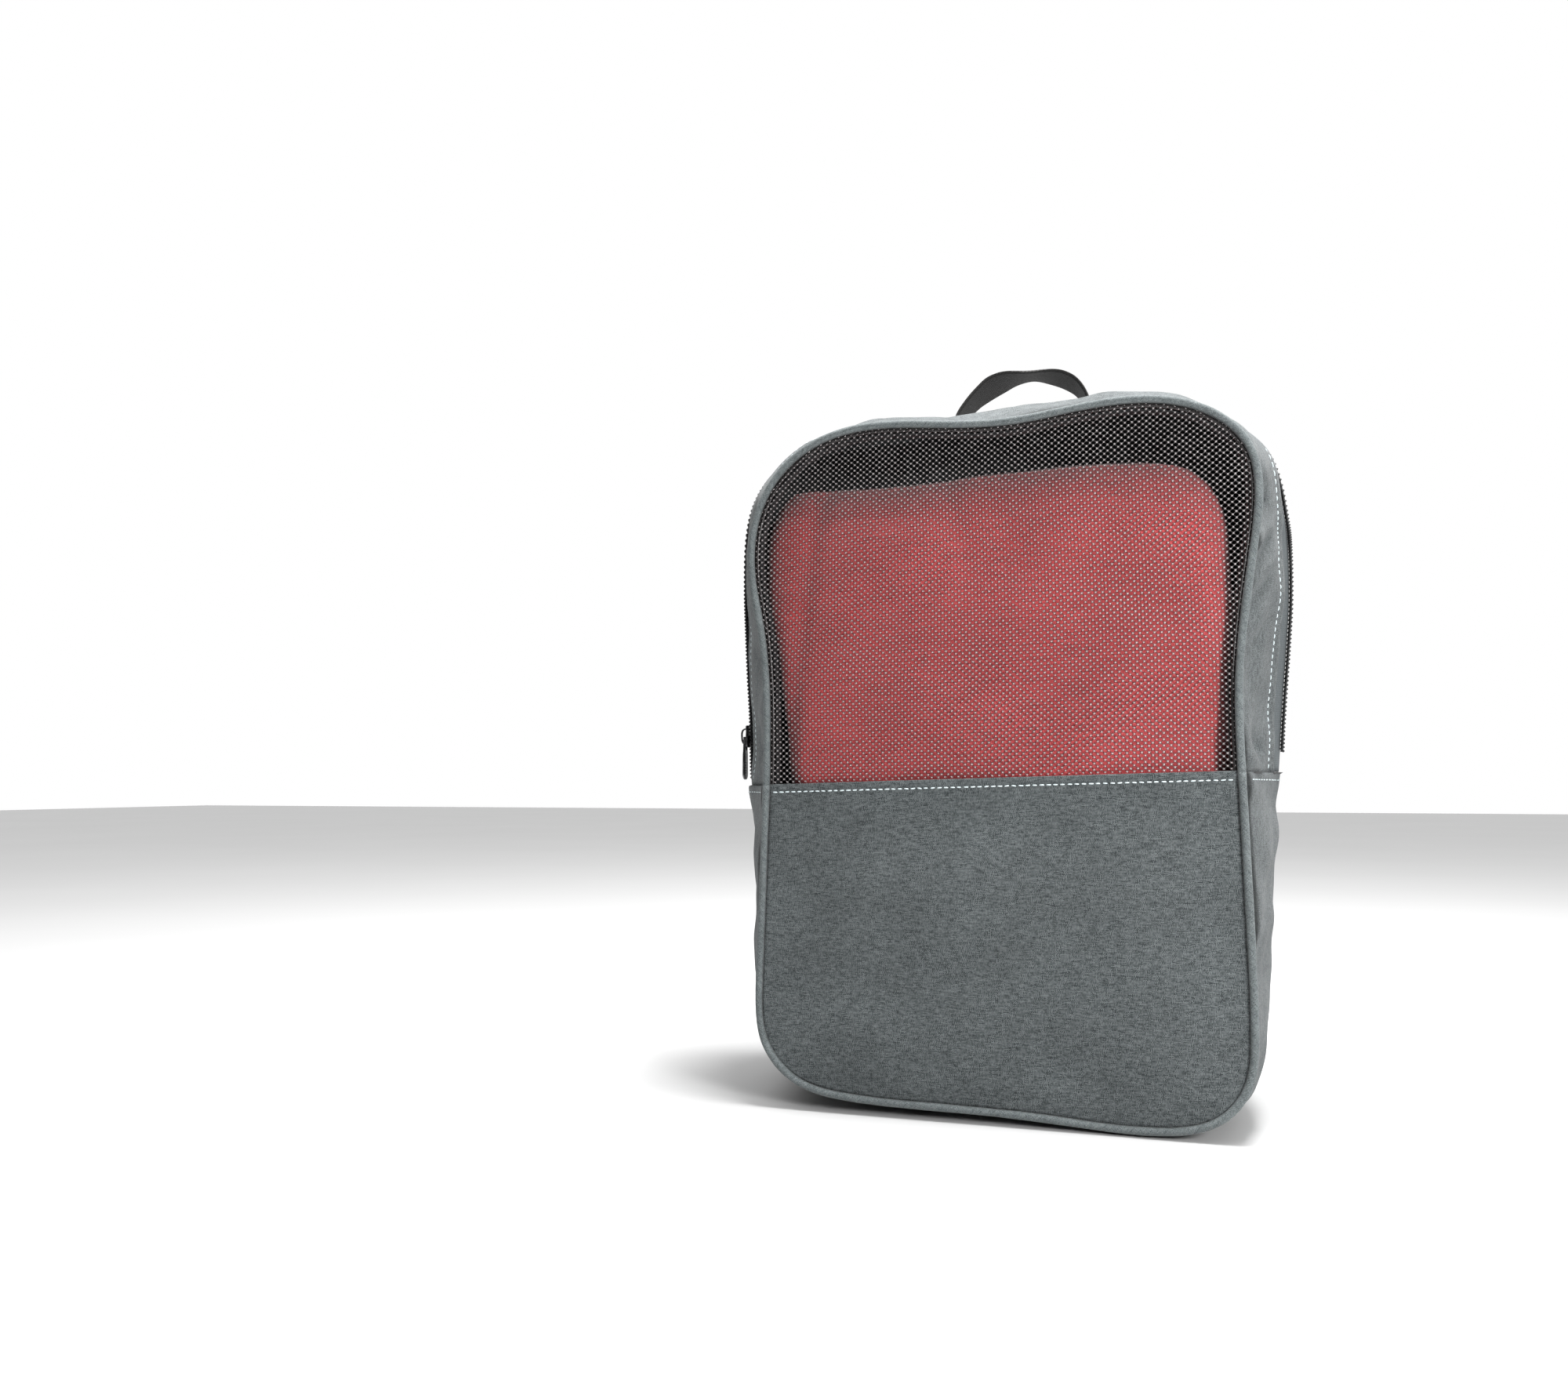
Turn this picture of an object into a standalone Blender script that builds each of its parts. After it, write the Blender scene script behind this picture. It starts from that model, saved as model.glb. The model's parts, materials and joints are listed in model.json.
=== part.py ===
"""Soft boxy shoe bag: mesh window above a fabric panel, piped edges, coil zip over the top.

Metres, +Z up, front of the bag towards -Y, origin on the ground under its middle.
"""
import math

import bmesh
import bpy
from mathutils import Matrix, Vector

# ---- driving dimensions -------------------------------------------------------------
DEPTH_HALF = 0.058            # from the zip line to the plane of the front or back panel
PANEL_HALF_WIDTH = 0.1135     # to the centre of the piping
PANEL_BOTTOM = 0.006
PANEL_TOP = 0.328
PANEL_TOP_RADIUS = 0.062
PANEL_BOTTOM_RADIUS = 0.042
SIDE_BULGE = 0.0250           # how far the gusset swells sideways at the zip line
TOP_BULGE = 0.0220
SIDE_POWER = 1.25             # the sides rise to the zip like a tent, the top is rounder
TOP_POWER = 3.0
TOP_RADIUS_GAIN = 0.022       # the top corners grow rounder towards the zip line
SEAM_SLACK = 0.22             # share of the side swelling that is gone at the seam
BASE_SLACK = 0.70             # and at the bottom corners
FLAT_BASE_HALF = 0.040        # depth over which the bottom lies flat on the ground
SEAM_Z = 0.157                # seam between mesh window and lower panel

FABRIC = 0.0012
GAP = 0.0003
PIPING_RADIUS = 0.0018
PIPING_WALL = 0.0006
CORD_RADIUS = 0.0008
BINDING_INSET = 0.0032        # inward from the centre of the piping
BINDING_DEPTH = 0.0080
BINDING_THICK = 0.0012

ZIP_FOLD_Y = 0.0085           # folded edge of each gusset strip beside the zip
TAPE_OUTER_Y = 0.0160
TAPE_INNER_Y = 0.0006
TAPE_THICK = 0.0008
COIL_RADIUS = 0.0013

SLIDER_LENGTH = 0.0120
SLIDER_BOTTOM = SEAM_Z + 0.0160
SLIDER_WING = 0.0010
SLIDER_MOUTH_HALF = 0.0048
SLIDER_THROAT_HALF = 0.0036
WING_CLEARANCE = 0.0015       # room behind the tapes, which lean as the flap opens
POST_HALF = 0.0003
POST_LENGTH = 0.0030
CAP_RISE = 0.0032
CAP_REACH = 0.0042
CAP_WIRE = 0.0005
PULL_PIVOT_RISE = 0.0017
PULL_PIVOT_DROP = 0.0012
PULL_LENGTH = 0.0220
PULL_HALF_WIDTH = 0.0032
PULL_THICK = 0.0011
PULL_WINDOW_HALF = 0.0013
PULL_WINDOW_TOP = 0.0005
PULL_WINDOW_END = 0.0066

HANDLE_X = 0.010              # the webbing is sewn on a little to the right
HANDLE_Y = 0.033
HANDLE_HALF_WIDTH = 0.010
HANDLE_HALF_SPAN = 0.037
HANDLE_THICK = 0.0016
HANDLE_TOP = 0.3785
HANDLE_HINGE_LIFT = 0.0092    # the webbing folds this far above the gusset
ANCHOR_LENGTH = 0.024
ANCHOR_LAP = 0.0020

BOARD_HALF_X = 0.074
BOARD_HALF_Y = 0.039
BOARD_THICK = 0.0015

SACK_HALF_WIDTH = 0.1050
SACK_FRONT = -0.0545
SACK_BACK = -0.0080
SACK_BOTTOM = 0.0120
SACK_TOP = 0.2980
SACK_FOOT = 0.030
SACK_TAPER = 0.008
SACK_TAPER_LENGTH = 0.045

CORNER_STEPS = 8
SIDE_TOP_Z = PANEL_TOP + TOP_BULGE - PANEL_TOP_RADIUS - TOP_RADIUS_GAIN
SIDE_LOW_Z = PANEL_BOTTOM_RADIUS

# ---- collections and materials ------------------------------------------------------
for old in list(bpy.data.objects):
    bpy.data.objects.remove(old, do_unlink=True)

parts = bpy.data.collections.new("shoe_bag")
cutters = bpy.data.collections.new("cutters")
for group in (parts, cutters):
    bpy.context.scene.collection.children.link(group)


def material(name, colour, roughness, metallic=0.0):
    """A Principled material with the given linear colour."""
    made = bpy.data.materials.new(name)
    made.use_nodes = True
    shader = made.node_tree.nodes["Principled BSDF"]
    shader.inputs["Base Color"].default_value = (*colour, 1.0)
    shader.inputs["Roughness"].default_value = roughness
    shader.inputs["Metallic"].default_value = metallic
    made.diffuse_color = (*colour, 1.0)
    return made


COLOURS = {
    "front_mesh_panel": ((0.020, 0.014, 0.014), 0.70, 0.0),
    "front_lower_panel": ((0.125, 0.140, 0.142), 0.85, 0.0),
    "back_panel": ((0.115, 0.130, 0.132), 0.85, 0.0),
    "gusset_lower": ((0.180, 0.210, 0.215), 0.85, 0.0),
    "gusset_front_strip": ((0.170, 0.200, 0.205), 0.85, 0.0),
    "gusset_back_strip": ((0.165, 0.190, 0.195), 0.85, 0.0),
    "piping_cover_upper": ((0.160, 0.185, 0.185), 0.80, 0.0),
    "piping_cover_lower": ((0.155, 0.180, 0.182), 0.80, 0.0),
    "piping_cover_back": ((0.150, 0.175, 0.178), 0.80, 0.0),
    "piping_cord_upper": ((0.600, 0.600, 0.580), 0.60, 0.0),
    "piping_cord_lower": ((0.600, 0.600, 0.570), 0.60, 0.0),
    "piping_cord_back": ((0.590, 0.600, 0.580), 0.60, 0.0),
    "seam_binding_upper": ((0.030, 0.032, 0.034), 0.80, 0.0),
    "seam_binding_lower": ((0.032, 0.032, 0.034), 0.80, 0.0),
    "seam_binding_back": ((0.030, 0.034, 0.034), 0.80, 0.0),
    "zip_tape_front": ((0.105, 0.122, 0.128), 0.75, 0.0),
    "zip_tape_back": ((0.100, 0.120, 0.125), 0.75, 0.0),
    "zip_coil_front": ((0.012, 0.012, 0.012), 0.35, 0.0),
    "zip_coil_back": ((0.012, 0.012, 0.013), 0.35, 0.0),
    "slider_body": ((0.060, 0.060, 0.062), 0.35, 0.9),
    "slider_cap": ((0.065, 0.065, 0.066), 0.35, 0.9),
    "pull_tab": ((0.055, 0.055, 0.058), 0.40, 0.9),
    "handle_webbing": ((0.022, 0.020, 0.019), 0.75, 0.0),
    "handle_anchor_left": ((0.022, 0.021, 0.019), 0.75, 0.0),
    "handle_anchor_right": ((0.022, 0.020, 0.020), 0.75, 0.0),
    "base_board": ((0.700, 0.700, 0.680), 0.55, 0.0),
    "sack_front": ((0.420, 0.070, 0.070), 0.85, 0.0),
    "sack_back": ((0.400, 0.066, 0.068), 0.85, 0.0),
    "sack_side_band": ((0.380, 0.064, 0.064), 0.85, 0.0),
}


def place(obj, parent=None):
    """Put a finished part in the bag's collection with its own material."""
    bpy.context.view_layer.update()
    for owner in list(obj.users_collection):
        owner.objects.unlink(obj)
    parts.objects.link(obj)
    obj.data.materials.clear()
    obj.data.materials.append(material(obj.name, *COLOURS[obj.name]))
    if parent:
        obj.parent = parent
        obj.matrix_parent_inverse = parent.matrix_world.inverted()
    return obj


def joint_empty(name, location, parent=None):
    """An empty on a joint's axis, which the moving pieces hang from."""
    empty = bpy.data.objects.new(name, None)
    empty.empty_display_size = 0.01
    empty.location = location
    parts.objects.link(empty)
    if parent:
        empty.parent = parent
        empty.location = Vector(location) - parent.matrix_world.translation
    bpy.context.view_layer.update()
    return empty


# ---- outlines -----------------------------------------------------------------------
def bulge(y, power):
    """Share of the full swelling at depth y: 0 at the panels, 1 at the zip line."""
    return 1.0 - min(1.0, abs(y) / DEPTH_HALF) ** power


def section(y):
    """Half-width, bottom, top and corner radii of the bag's outline at depth y."""
    swell = bulge(y, SIDE_POWER)
    lift = bulge(y, TOP_POWER)
    rise = max(0.0, abs(y) - FLAT_BASE_HALF) / (DEPTH_HALF - FLAT_BASE_HALF)
    return {
        "swell": swell,
        "half": PANEL_HALF_WIDTH + SIDE_BULGE * swell,
        "bottom": PANEL_BOTTOM * min(1.0, rise) ** 2,
        "top": PANEL_TOP + TOP_BULGE * lift,
        "r_top": PANEL_TOP_RADIUS + TOP_RADIUS_GAIN * lift,
        "r_bottom": PANEL_BOTTOM_RADIUS,
    }


def inset(shape, by):
    """The same outline moved inwards by a distance."""
    return {
        "swell": shape["swell"],
        "half": shape["half"] - by,
        "bottom": shape["bottom"] + by,
        "top": shape["top"] - by,
        "r_top": shape["r_top"] - by,
        "r_bottom": shape["r_bottom"] - by,
    }


def corner(x, z, radius, start, end):
    """Points on a round corner, angles in degrees."""
    steps = range(CORNER_STEPS + 1)
    angles = [math.radians(start + (end - start) * step / CORNER_STEPS) for step in steps]
    return [(x + radius * math.cos(a), z + radius * math.sin(a)) for a in angles]


def slack(z):
    """Share of the side swelling that is lost at height z: none above the zip's corner."""
    if z > SEAM_Z:
        return SEAM_SLACK * max(0.0, (SIDE_TOP_Z - z) / (SIDE_TOP_Z - SEAM_Z))
    return SEAM_SLACK + (BASE_SLACK - SEAM_SLACK) * min(1.0, (SEAM_Z - z) / (SEAM_Z - SIDE_LOW_Z))


def leaned(points, swell):
    """Pull the sides of an outline in towards its foot."""
    moved = []
    for x, z in points:
        side = max(-1.0, min(1.0, x / PANEL_HALF_WIDTH))
        moved.append((x - side * SIDE_BULGE * swell * slack(z), z))
    return moved


def upper_path(shape, start_z):
    """Outline from start_z on the left, over the top, to start_z on the right."""
    half = shape["half"]
    x = half - shape["r_top"]
    z = shape["top"] - shape["r_top"]
    left = corner(-x, z, shape["r_top"], 180, 90)
    right = corner(x, z, shape["r_top"], 90, 0)
    points = [(-half, start_z), *left, (0.0, shape["top"]), *right, (half, start_z)]
    return leaned(points, shape["swell"])


def lower_path(shape, start_z):
    """Outline from start_z on the right, under the bottom, to start_z on the left."""
    half = shape["half"]
    x = half - shape["r_bottom"]
    z = shape["bottom"] + shape["r_bottom"]
    right = corner(x, z, shape["r_bottom"], 0, -90)
    left = corner(-x, z, shape["r_bottom"], -90, -180)
    points = [(half, start_z), *right, (0.0, shape["bottom"]), *left, (-half, start_z)]
    return leaned(points, shape["swell"])


# ---- makers -------------------------------------------------------------------------
def sheet_part(name, depths, path, inward, thickness, parent=None):
    """A strip of cloth lofted through the outlines at several depths, given a thickness."""
    mesh = bmesh.new()
    rows = []
    for y in depths:
        points = path(inset(section(y), inward))
        rows.append([mesh.verts.new((x, y, z)) for x, z in points])
    for first, second in zip(rows, rows[1:]):
        for i in range(len(first) - 1):
            mesh.faces.new((first[i], first[i + 1], second[i + 1], second[i]))
    data = bpy.data.meshes.new(name)
    mesh.to_mesh(data)
    mesh.free()
    obj = bpy.data.objects.new(name, data)
    solid = obj.modifiers.new("cloth", "SOLIDIFY")
    solid.thickness = thickness
    solid.offset = -1.0
    solid.use_even_offset = True
    return place(obj, parent)


def curve_object(name, outlines, closed, dimensions="3D"):
    """A curve of poly splines from lists of 3-D points."""
    curve = bpy.data.curves.new(name, "CURVE")
    curve.dimensions = dimensions
    for points in outlines:
        spline = curve.splines.new("POLY")
        spline.points.add(len(points) - 1)
        for target, point in zip(spline.points, points):
            target.co = (*point, 1.0)
        spline.use_cyclic_u = closed
    return bpy.data.objects.new(name, curve)


def tube_part(name, points, radius, wall=None, parent=None):
    """A cord along points, or with a wall a hollow tube that is open at both ends."""
    obj = curve_object(name, [points], closed=False)
    obj.data.bevel_depth = radius
    obj.data.bevel_resolution = 2
    obj.data.use_fill_caps = wall is None
    if wall:
        skin = obj.modifiers.new("wall", "SOLIDIFY")
        skin.thickness = wall
        skin.offset = -1.0
        skin.use_even_offset = True
    return place(obj, parent)


def signed_area(outline):
    """Area inside an outline, positive where it runs anticlockwise."""
    ahead = outline[1:] + outline[:1]
    return sum(a[0] * b[1] - b[0] * a[1] for a, b in zip(outline, ahead)) / 2.0


def plate_part(name, outlines, thickness, location, rotation, parent=None):
    """A flat outline, with holes after the first, filled and given a thickness."""
    flat = []
    for index, outline in enumerate(outlines):
        anticlockwise = signed_area(outline) > 0.0
        ordered = outline if anticlockwise == (index == 0) else list(reversed(outline))
        flat.append([(u, v, 0.0) for u, v in ordered])
    obj = curve_object(name, flat, closed=True, dimensions="2D")
    obj.data.fill_mode = "BOTH"
    obj.data.extrude = thickness / 2.0
    obj.location = location
    obj.rotation_euler = rotation
    bpy.context.view_layer.update()
    return place(obj, parent)


def mirrored(depths):
    """The same depths on the back of the bag, in order."""
    return [-y for y in reversed(depths)]


def offset_path(points, distance):
    """A path moved sideways by a distance, to the left of its direction."""
    moved = []
    for i, point in enumerate(points):
        before = Vector(points[max(i - 1, 0)])
        after = Vector(points[min(i + 1, len(points) - 1)])
        along = (after - before).normalized()
        moved.append((point[0] - along.y * distance, point[1] + along.x * distance))
    return moved


UPRIGHT = (math.radians(90), 0.0, 0.0)        # flat outline stood up facing the front
SIDEWAYS = (math.radians(90), 0.0, math.radians(90))    # flat outline facing the side

# ---- joints -------------------------------------------------------------------------
zip_half = section(0.0)["half"]
seam_half = zip_half - SIDE_BULGE * SEAM_SLACK
zip_lean = math.atan2(zip_half - seam_half, SIDE_TOP_Z - SEAM_Z)
handle_surface = section(HANDLE_Y - HANDLE_HALF_WIDTH)["top"]
handle_hinge_z = handle_surface + HANDLE_HINGE_LIFT
slider_z = SLIDER_BOTTOM + SLIDER_LENGTH / 2.0
slider_x = -(seam_half + (slider_z - SEAM_Z) * math.tan(zip_lean))
wing_x = -(COIL_RADIUS + GAP + SLIDER_WING)
along_zip = Matrix.Rotation(-zip_lean, 4, "Y")
slider_place = Matrix.Translation((slider_x, 0.0, slider_z)) @ along_zip

flap_joint = joint_empty("front_flap_axis", (0.0, -DEPTH_HALF - PIPING_RADIUS - GAP, SEAM_Z))
slider_joint = joint_empty("slider_axis", (slider_x, 0.0, slider_z))
pull_pivot = slider_place @ Vector((wing_x - PULL_PIVOT_RISE, 0.0, -PULL_PIVOT_DROP))
pull_joint = joint_empty("pull_tab_axis", pull_pivot, slider_joint)
handle_joint = joint_empty("handle_axis", (HANDLE_X, HANDLE_Y, handle_hinge_z))

# ---- panels -------------------------------------------------------------------------
panel_shape = inset(section(DEPTH_HALF), PIPING_RADIUS + GAP)
seam_above = SEAM_Z + GAP / 2.0
seam_below = SEAM_Z - GAP / 2.0
plate_part("front_mesh_panel", [upper_path(panel_shape, seam_above)], FABRIC,
           (0.0, -DEPTH_HALF, 0.0), UPRIGHT, flap_joint)
plate_part("front_lower_panel", [lower_path(panel_shape, seam_below)], FABRIC,
           (0.0, -DEPTH_HALF, 0.0), UPRIGHT)
back_outline = upper_path(panel_shape, SEAM_Z) + lower_path(panel_shape, SEAM_Z)[1:-1]
plate_part("back_panel", [back_outline], FABRIC, (0.0, DEPTH_HALF, 0.0), UPRIGHT)

# ---- gusset -------------------------------------------------------------------------
edge_y = DEPTH_HALF - PIPING_RADIUS - GAP
front_depths = [-edge_y, -0.050, -0.040, -0.029, -0.018, -ZIP_FOLD_Y]
sheet_part("gusset_front_strip", front_depths,
           lambda shape: upper_path(shape, seam_above), 0.0, FABRIC, flap_joint)
sheet_part("gusset_back_strip", mirrored(front_depths),
           lambda shape: upper_path(shape, seam_above), 0.0, FABRIC)
sheet_part("gusset_lower", [*front_depths, *mirrored(front_depths)],
           lambda shape: lower_path(shape, seam_below), 0.0, FABRIC)

# ---- piping and the tape over the seam allowances -------------------------------------
piping_shape = section(DEPTH_HALF)


def piping(name, path, y, parent=None):
    """Fabric tube and the cord inside it, along one path."""
    points = [(x, y, z) for x, z in path]
    tube_part(f"piping_cover_{name}", points, PIPING_RADIUS, PIPING_WALL, parent)
    tube_part(f"piping_cord_{name}", points, CORD_RADIUS, parent=parent)


back_start = (GAP, piping_shape["bottom"])
back_loop = [
    back_start,
    *reversed(lower_path(piping_shape, SEAM_Z)[1:CORNER_STEPS + 2]),
    *reversed(upper_path(piping_shape, SEAM_Z)[1:-1]),
    *reversed(lower_path(piping_shape, SEAM_Z)[CORNER_STEPS + 3:-1]),
    (-GAP, piping_shape["bottom"]),
]
piping("upper", upper_path(piping_shape, seam_above), -DEPTH_HALF, flap_joint)
piping("lower", lower_path(piping_shape, seam_below), -DEPTH_HALF)
piping("back", back_loop, DEPTH_HALF)


def binding(name, path, side, parent=None):
    """Tape along the inside of a piped seam; side is -1 at the front and 1 at the back."""
    near = side * (edge_y - 0.0004)
    far = side * (edge_y - 0.0004 - BINDING_DEPTH)
    shape = inset(section(DEPTH_HALF), BINDING_INSET)
    mesh = bmesh.new()
    rows = []
    for y in sorted((near, far)):
        rows.append([mesh.verts.new((x, y, z)) for x, z in path(shape)])
    for i in range(len(rows[0]) - 1):
        mesh.faces.new((rows[0][i], rows[0][i + 1], rows[1][i + 1], rows[1][i]))
    data = bpy.data.meshes.new(f"seam_binding_{name}")
    mesh.to_mesh(data)
    mesh.free()
    obj = bpy.data.objects.new(f"seam_binding_{name}", data)
    solid = obj.modifiers.new("tape", "SOLIDIFY")
    solid.thickness = BINDING_THICK
    solid.offset = -1.0
    solid.use_even_offset = True
    place(obj, parent)


def whole_path(shape):
    """The whole outline, starting and ending on the right at seam height."""
    low = lower_path(shape, SEAM_Z)
    return [*low, *upper_path(shape, SEAM_Z)[1:-1], (shape["half"], SEAM_Z + GAP)]


binding("upper", lambda shape: upper_path(shape, seam_above), -1, flap_joint)
binding("lower", lambda shape: lower_path(shape, seam_below), -1)
binding("back", whole_path, 1)

# ---- zip ----------------------------------------------------------------------------
zip_start = SEAM_Z + 0.0005
tape_depths = [-TAPE_OUTER_Y, -0.0110, -0.0060, -TAPE_INNER_Y]
tape_inset = FABRIC + GAP
sheet_part("zip_tape_front", tape_depths,
           lambda shape: upper_path(shape, zip_start), tape_inset, TAPE_THICK, flap_joint)
sheet_part("zip_tape_back", mirrored(tape_depths),
           lambda shape: upper_path(shape, zip_start), tape_inset, TAPE_THICK)
coil_y = TAPE_INNER_Y + COIL_RADIUS
coil_shape = inset(section(0.0), tape_inset - GAP - COIL_RADIUS)
coil_path = upper_path(coil_shape, zip_start)
tube_part("zip_coil_front", [(x, -coil_y, z) for x, z in coil_path], COIL_RADIUS,
          parent=flap_joint)
tube_part("zip_coil_back", [(x, coil_y, z) for x, z in coil_path], COIL_RADIUS)


# ---- slider -------------------------------------------------------------------------
def wing(name, x_centre):
    """One wing of the slider: wide mouth below, narrow throat above."""
    low = -SLIDER_LENGTH / 2.0
    outline = [
        (-SLIDER_MOUTH_HALF, low + 0.0015),
        (-SLIDER_MOUTH_HALF + 0.0015, low),
        (SLIDER_MOUTH_HALF - 0.0015, low),
        (SLIDER_MOUTH_HALF, low + 0.0015),
        (SLIDER_THROAT_HALF, 0.0010),
        (SLIDER_THROAT_HALF, -low - 0.0010),
        (SLIDER_THROAT_HALF - 0.0010, -low),
        (-SLIDER_THROAT_HALF + 0.0010, -low),
        (-SLIDER_THROAT_HALF, -low - 0.0010),
        (-SLIDER_THROAT_HALF, 0.0010),
    ]
    mesh = bmesh.new()
    near = [mesh.verts.new((x_centre - SLIDER_WING / 2.0, u, v)) for u, v in outline]
    face = mesh.faces.new(near)
    swept = bmesh.ops.extrude_face_region(mesh, geom=[face])
    moved = [item for item in swept["geom"] if isinstance(item, bmesh.types.BMVert)]
    bmesh.ops.translate(mesh, verts=moved, vec=(SLIDER_WING, 0.0, 0.0))
    bmesh.ops.recalc_face_normals(mesh, faces=mesh.faces)
    data = bpy.data.meshes.new(name)
    mesh.to_mesh(data)
    mesh.free()
    return bpy.data.objects.new(name, data)


def box(name, low, high):
    """A closed box between two corners."""
    mesh = bmesh.new()
    bmesh.ops.create_cube(mesh, size=1.0)
    size = Vector(high) - Vector(low)
    middle = (Vector(high) + Vector(low)) / 2.0
    for vert in mesh.verts:
        vert.co = Vector(a * b for a, b in zip(vert.co, size)) + middle
    data = bpy.data.meshes.new(name)
    mesh.to_mesh(data)
    mesh.free()
    return bpy.data.objects.new(name, data)


def add_cutter(obj):
    """Keep a shape that only serves a Boolean in its own collection."""
    cutters.objects.link(obj)
    obj.hide_render = True
    obj.display_type = "WIRE"
    return obj


inner_wing_x = tape_inset + TAPE_THICK + WING_CLEARANCE + SLIDER_WING / 2.0
outer_wing = wing("slider_body", wing_x + SLIDER_WING / 2.0)
inner_wing = add_cutter(wing("slider_inner_wing", inner_wing_x))
post_low = -SLIDER_LENGTH / 2.0 + 0.0010
post = add_cutter(box("slider_post", (wing_x + 0.0005, -POST_HALF, post_low),
                      (inner_wing_x, POST_HALF, post_low + POST_LENGTH)))
for piece in (outer_wing, inner_wing, post):
    piece.matrix_world = slider_place
for extra in (post, inner_wing):
    union = outer_wing.modifiers.new(f"add_{extra.name}", "BOOLEAN")
    union.operation = "UNION"
    union.object = extra
place(outer_wing, slider_joint)

cap_points = []
for step in range(9):
    angle = math.pi * step / 8.0
    rise = CAP_RISE * math.sin(angle) ** 0.6 if 0 < step < 8 else 0.0
    reach = CAP_REACH * math.copysign(abs(math.cos(angle)) ** 0.7, math.cos(angle))
    cap_points.append(slider_place @ Vector((wing_x - GAP - CAP_WIRE - rise, 0.0, reach)))
tube_part("slider_cap", cap_points, CAP_WIRE, parent=slider_joint)

pull_end = corner(0.0, -PULL_LENGTH + PULL_HALF_WIDTH, PULL_HALF_WIDTH, 180, 360)
pull_outline = [(0.0022, 0.0006), (-0.0022, 0.0006), (-0.0030, -0.0060), *pull_end,
                (0.0030, -0.0060)]
pull_window = [
    (-PULL_WINDOW_HALF, -PULL_WINDOW_TOP),
    (PULL_WINDOW_HALF, -PULL_WINDOW_TOP),
    (PULL_WINDOW_HALF, -PULL_WINDOW_END),
    (-PULL_WINDOW_HALF, -PULL_WINDOW_END),
]
plate_part("pull_tab", [pull_outline, pull_window], PULL_THICK, pull_pivot, SIDEWAYS, pull_joint)

# ---- handle -------------------------------------------------------------------------
arch_rise = HANDLE_TOP - HANDLE_THICK / 2.0 - handle_hinge_z
arch_middle = []
for step in range(17):
    angle = math.pi * step / 16.0
    reach = math.copysign(abs(math.cos(angle)) ** 0.80, math.cos(angle))
    rise = math.sin(angle) ** 0.80 if 0 < step < 16 else 0.0
    arch_middle.append((HANDLE_HALF_SPAN * reach, arch_rise * rise))
arch_outline = [
    *offset_path(arch_middle, -HANDLE_THICK / 2.0),
    *reversed(offset_path(arch_middle, HANDLE_THICK / 2.0)),
]
plate_part("handle_webbing", [arch_outline], 2.0 * HANDLE_HALF_WIDTH,
           (HANDLE_X, HANDLE_Y, handle_hinge_z), UPRIGHT, handle_joint)

lap = HANDLE_HALF_SPAN + HANDLE_THICK / 2.0 + GAP     # the sewn end stands beside the leg
top_fall = TOP_BULGE * TOP_POWER * HANDLE_Y ** (TOP_POWER - 1.0) / DEPTH_HALF ** TOP_POWER
anchor_tilt = math.atan(top_fall)                     # the top slopes down to the back there
anchor_z = section(HANDLE_Y)["top"]
anchor_rise = (handle_hinge_z + ANCHOR_LAP - anchor_z) / math.cos(anchor_tilt)
anchor_outline = [
    (lap, GAP),
    (lap + ANCHOR_LENGTH, GAP),
    (lap + ANCHOR_LENGTH, GAP + HANDLE_THICK),
    (lap + HANDLE_THICK, GAP + HANDLE_THICK),
    (lap + HANDLE_THICK, anchor_rise),
    (lap, anchor_rise),
]
for side, word in ((-1, "left"), (1, "right")):
    outline = [(side * x, z) for x, z in anchor_outline]
    plate_part(f"handle_anchor_{word}", [outline], 2.0 * HANDLE_HALF_WIDTH,
               (HANDLE_X, HANDLE_Y, anchor_z), (UPRIGHT[0] - anchor_tilt, 0.0, 0.0))

# ---- inside -------------------------------------------------------------------------
board = box("base_board", (-BOARD_HALF_X, -BOARD_HALF_Y, FABRIC + GAP),
            (BOARD_HALF_X, BOARD_HALF_Y, FABRIC + GAP + BOARD_THICK))
board_edges = board.modifiers.new("round_corners", "BEVEL")
board_edges.width = 0.0004
board_edges.segments = 1
place(board)


def sack_outline(inward):
    """Outline of the cloth sack from its top left, round its foot, to its top right."""
    half = SACK_HALF_WIDTH - inward
    x = half - SACK_FOOT
    z = SACK_BOTTOM + inward + SACK_FOOT
    return [
        (-half + SACK_TAPER, SACK_TOP),
        (-half, SACK_TOP - SACK_TAPER_LENGTH),
        *corner(-x, z, SACK_FOOT, 180, 270),
        *corner(x, z, SACK_FOOT, 270, 360),
        (half, SACK_TOP - SACK_TAPER_LENGTH),
        (half - SACK_TAPER, SACK_TOP),
    ]


plate_part("sack_front", [sack_outline(0.0)], FABRIC,
           (0.0, SACK_FRONT + FABRIC / 2.0, 0.0), UPRIGHT)
plate_part("sack_back", [sack_outline(0.0)], FABRIC,
           (0.0, SACK_BACK - FABRIC / 2.0, 0.0), UPRIGHT)
band_front = SACK_FRONT + FABRIC + GAP
band_back = SACK_BACK - FABRIC - GAP
band_outline = sack_outline(0.0) + list(reversed(sack_outline(FABRIC)))
plate_part("sack_side_band", [band_outline], band_back - band_front,
           (0.0, (band_front + band_back) / 2.0, 0.0), UPRIGHT)

for part in parts.objects:
    if part.type == "MESH":
        part.data.shade_smooth()
        part.data.set_sharp_from_angle(angle=math.radians(40))
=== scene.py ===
"""Shoe bag with a net window: soft cloth, net, zip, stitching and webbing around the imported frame.

Metres, +Z up, the front of the bag towards -Y. A length t runs once round the piping: from the
seam on the right up over the top, down to the seam on the left, and back under the bottom.
"""

import json
import math

import bmesh
import bpy
import numpy as np
from mathutils import Matrix, Vector


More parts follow.
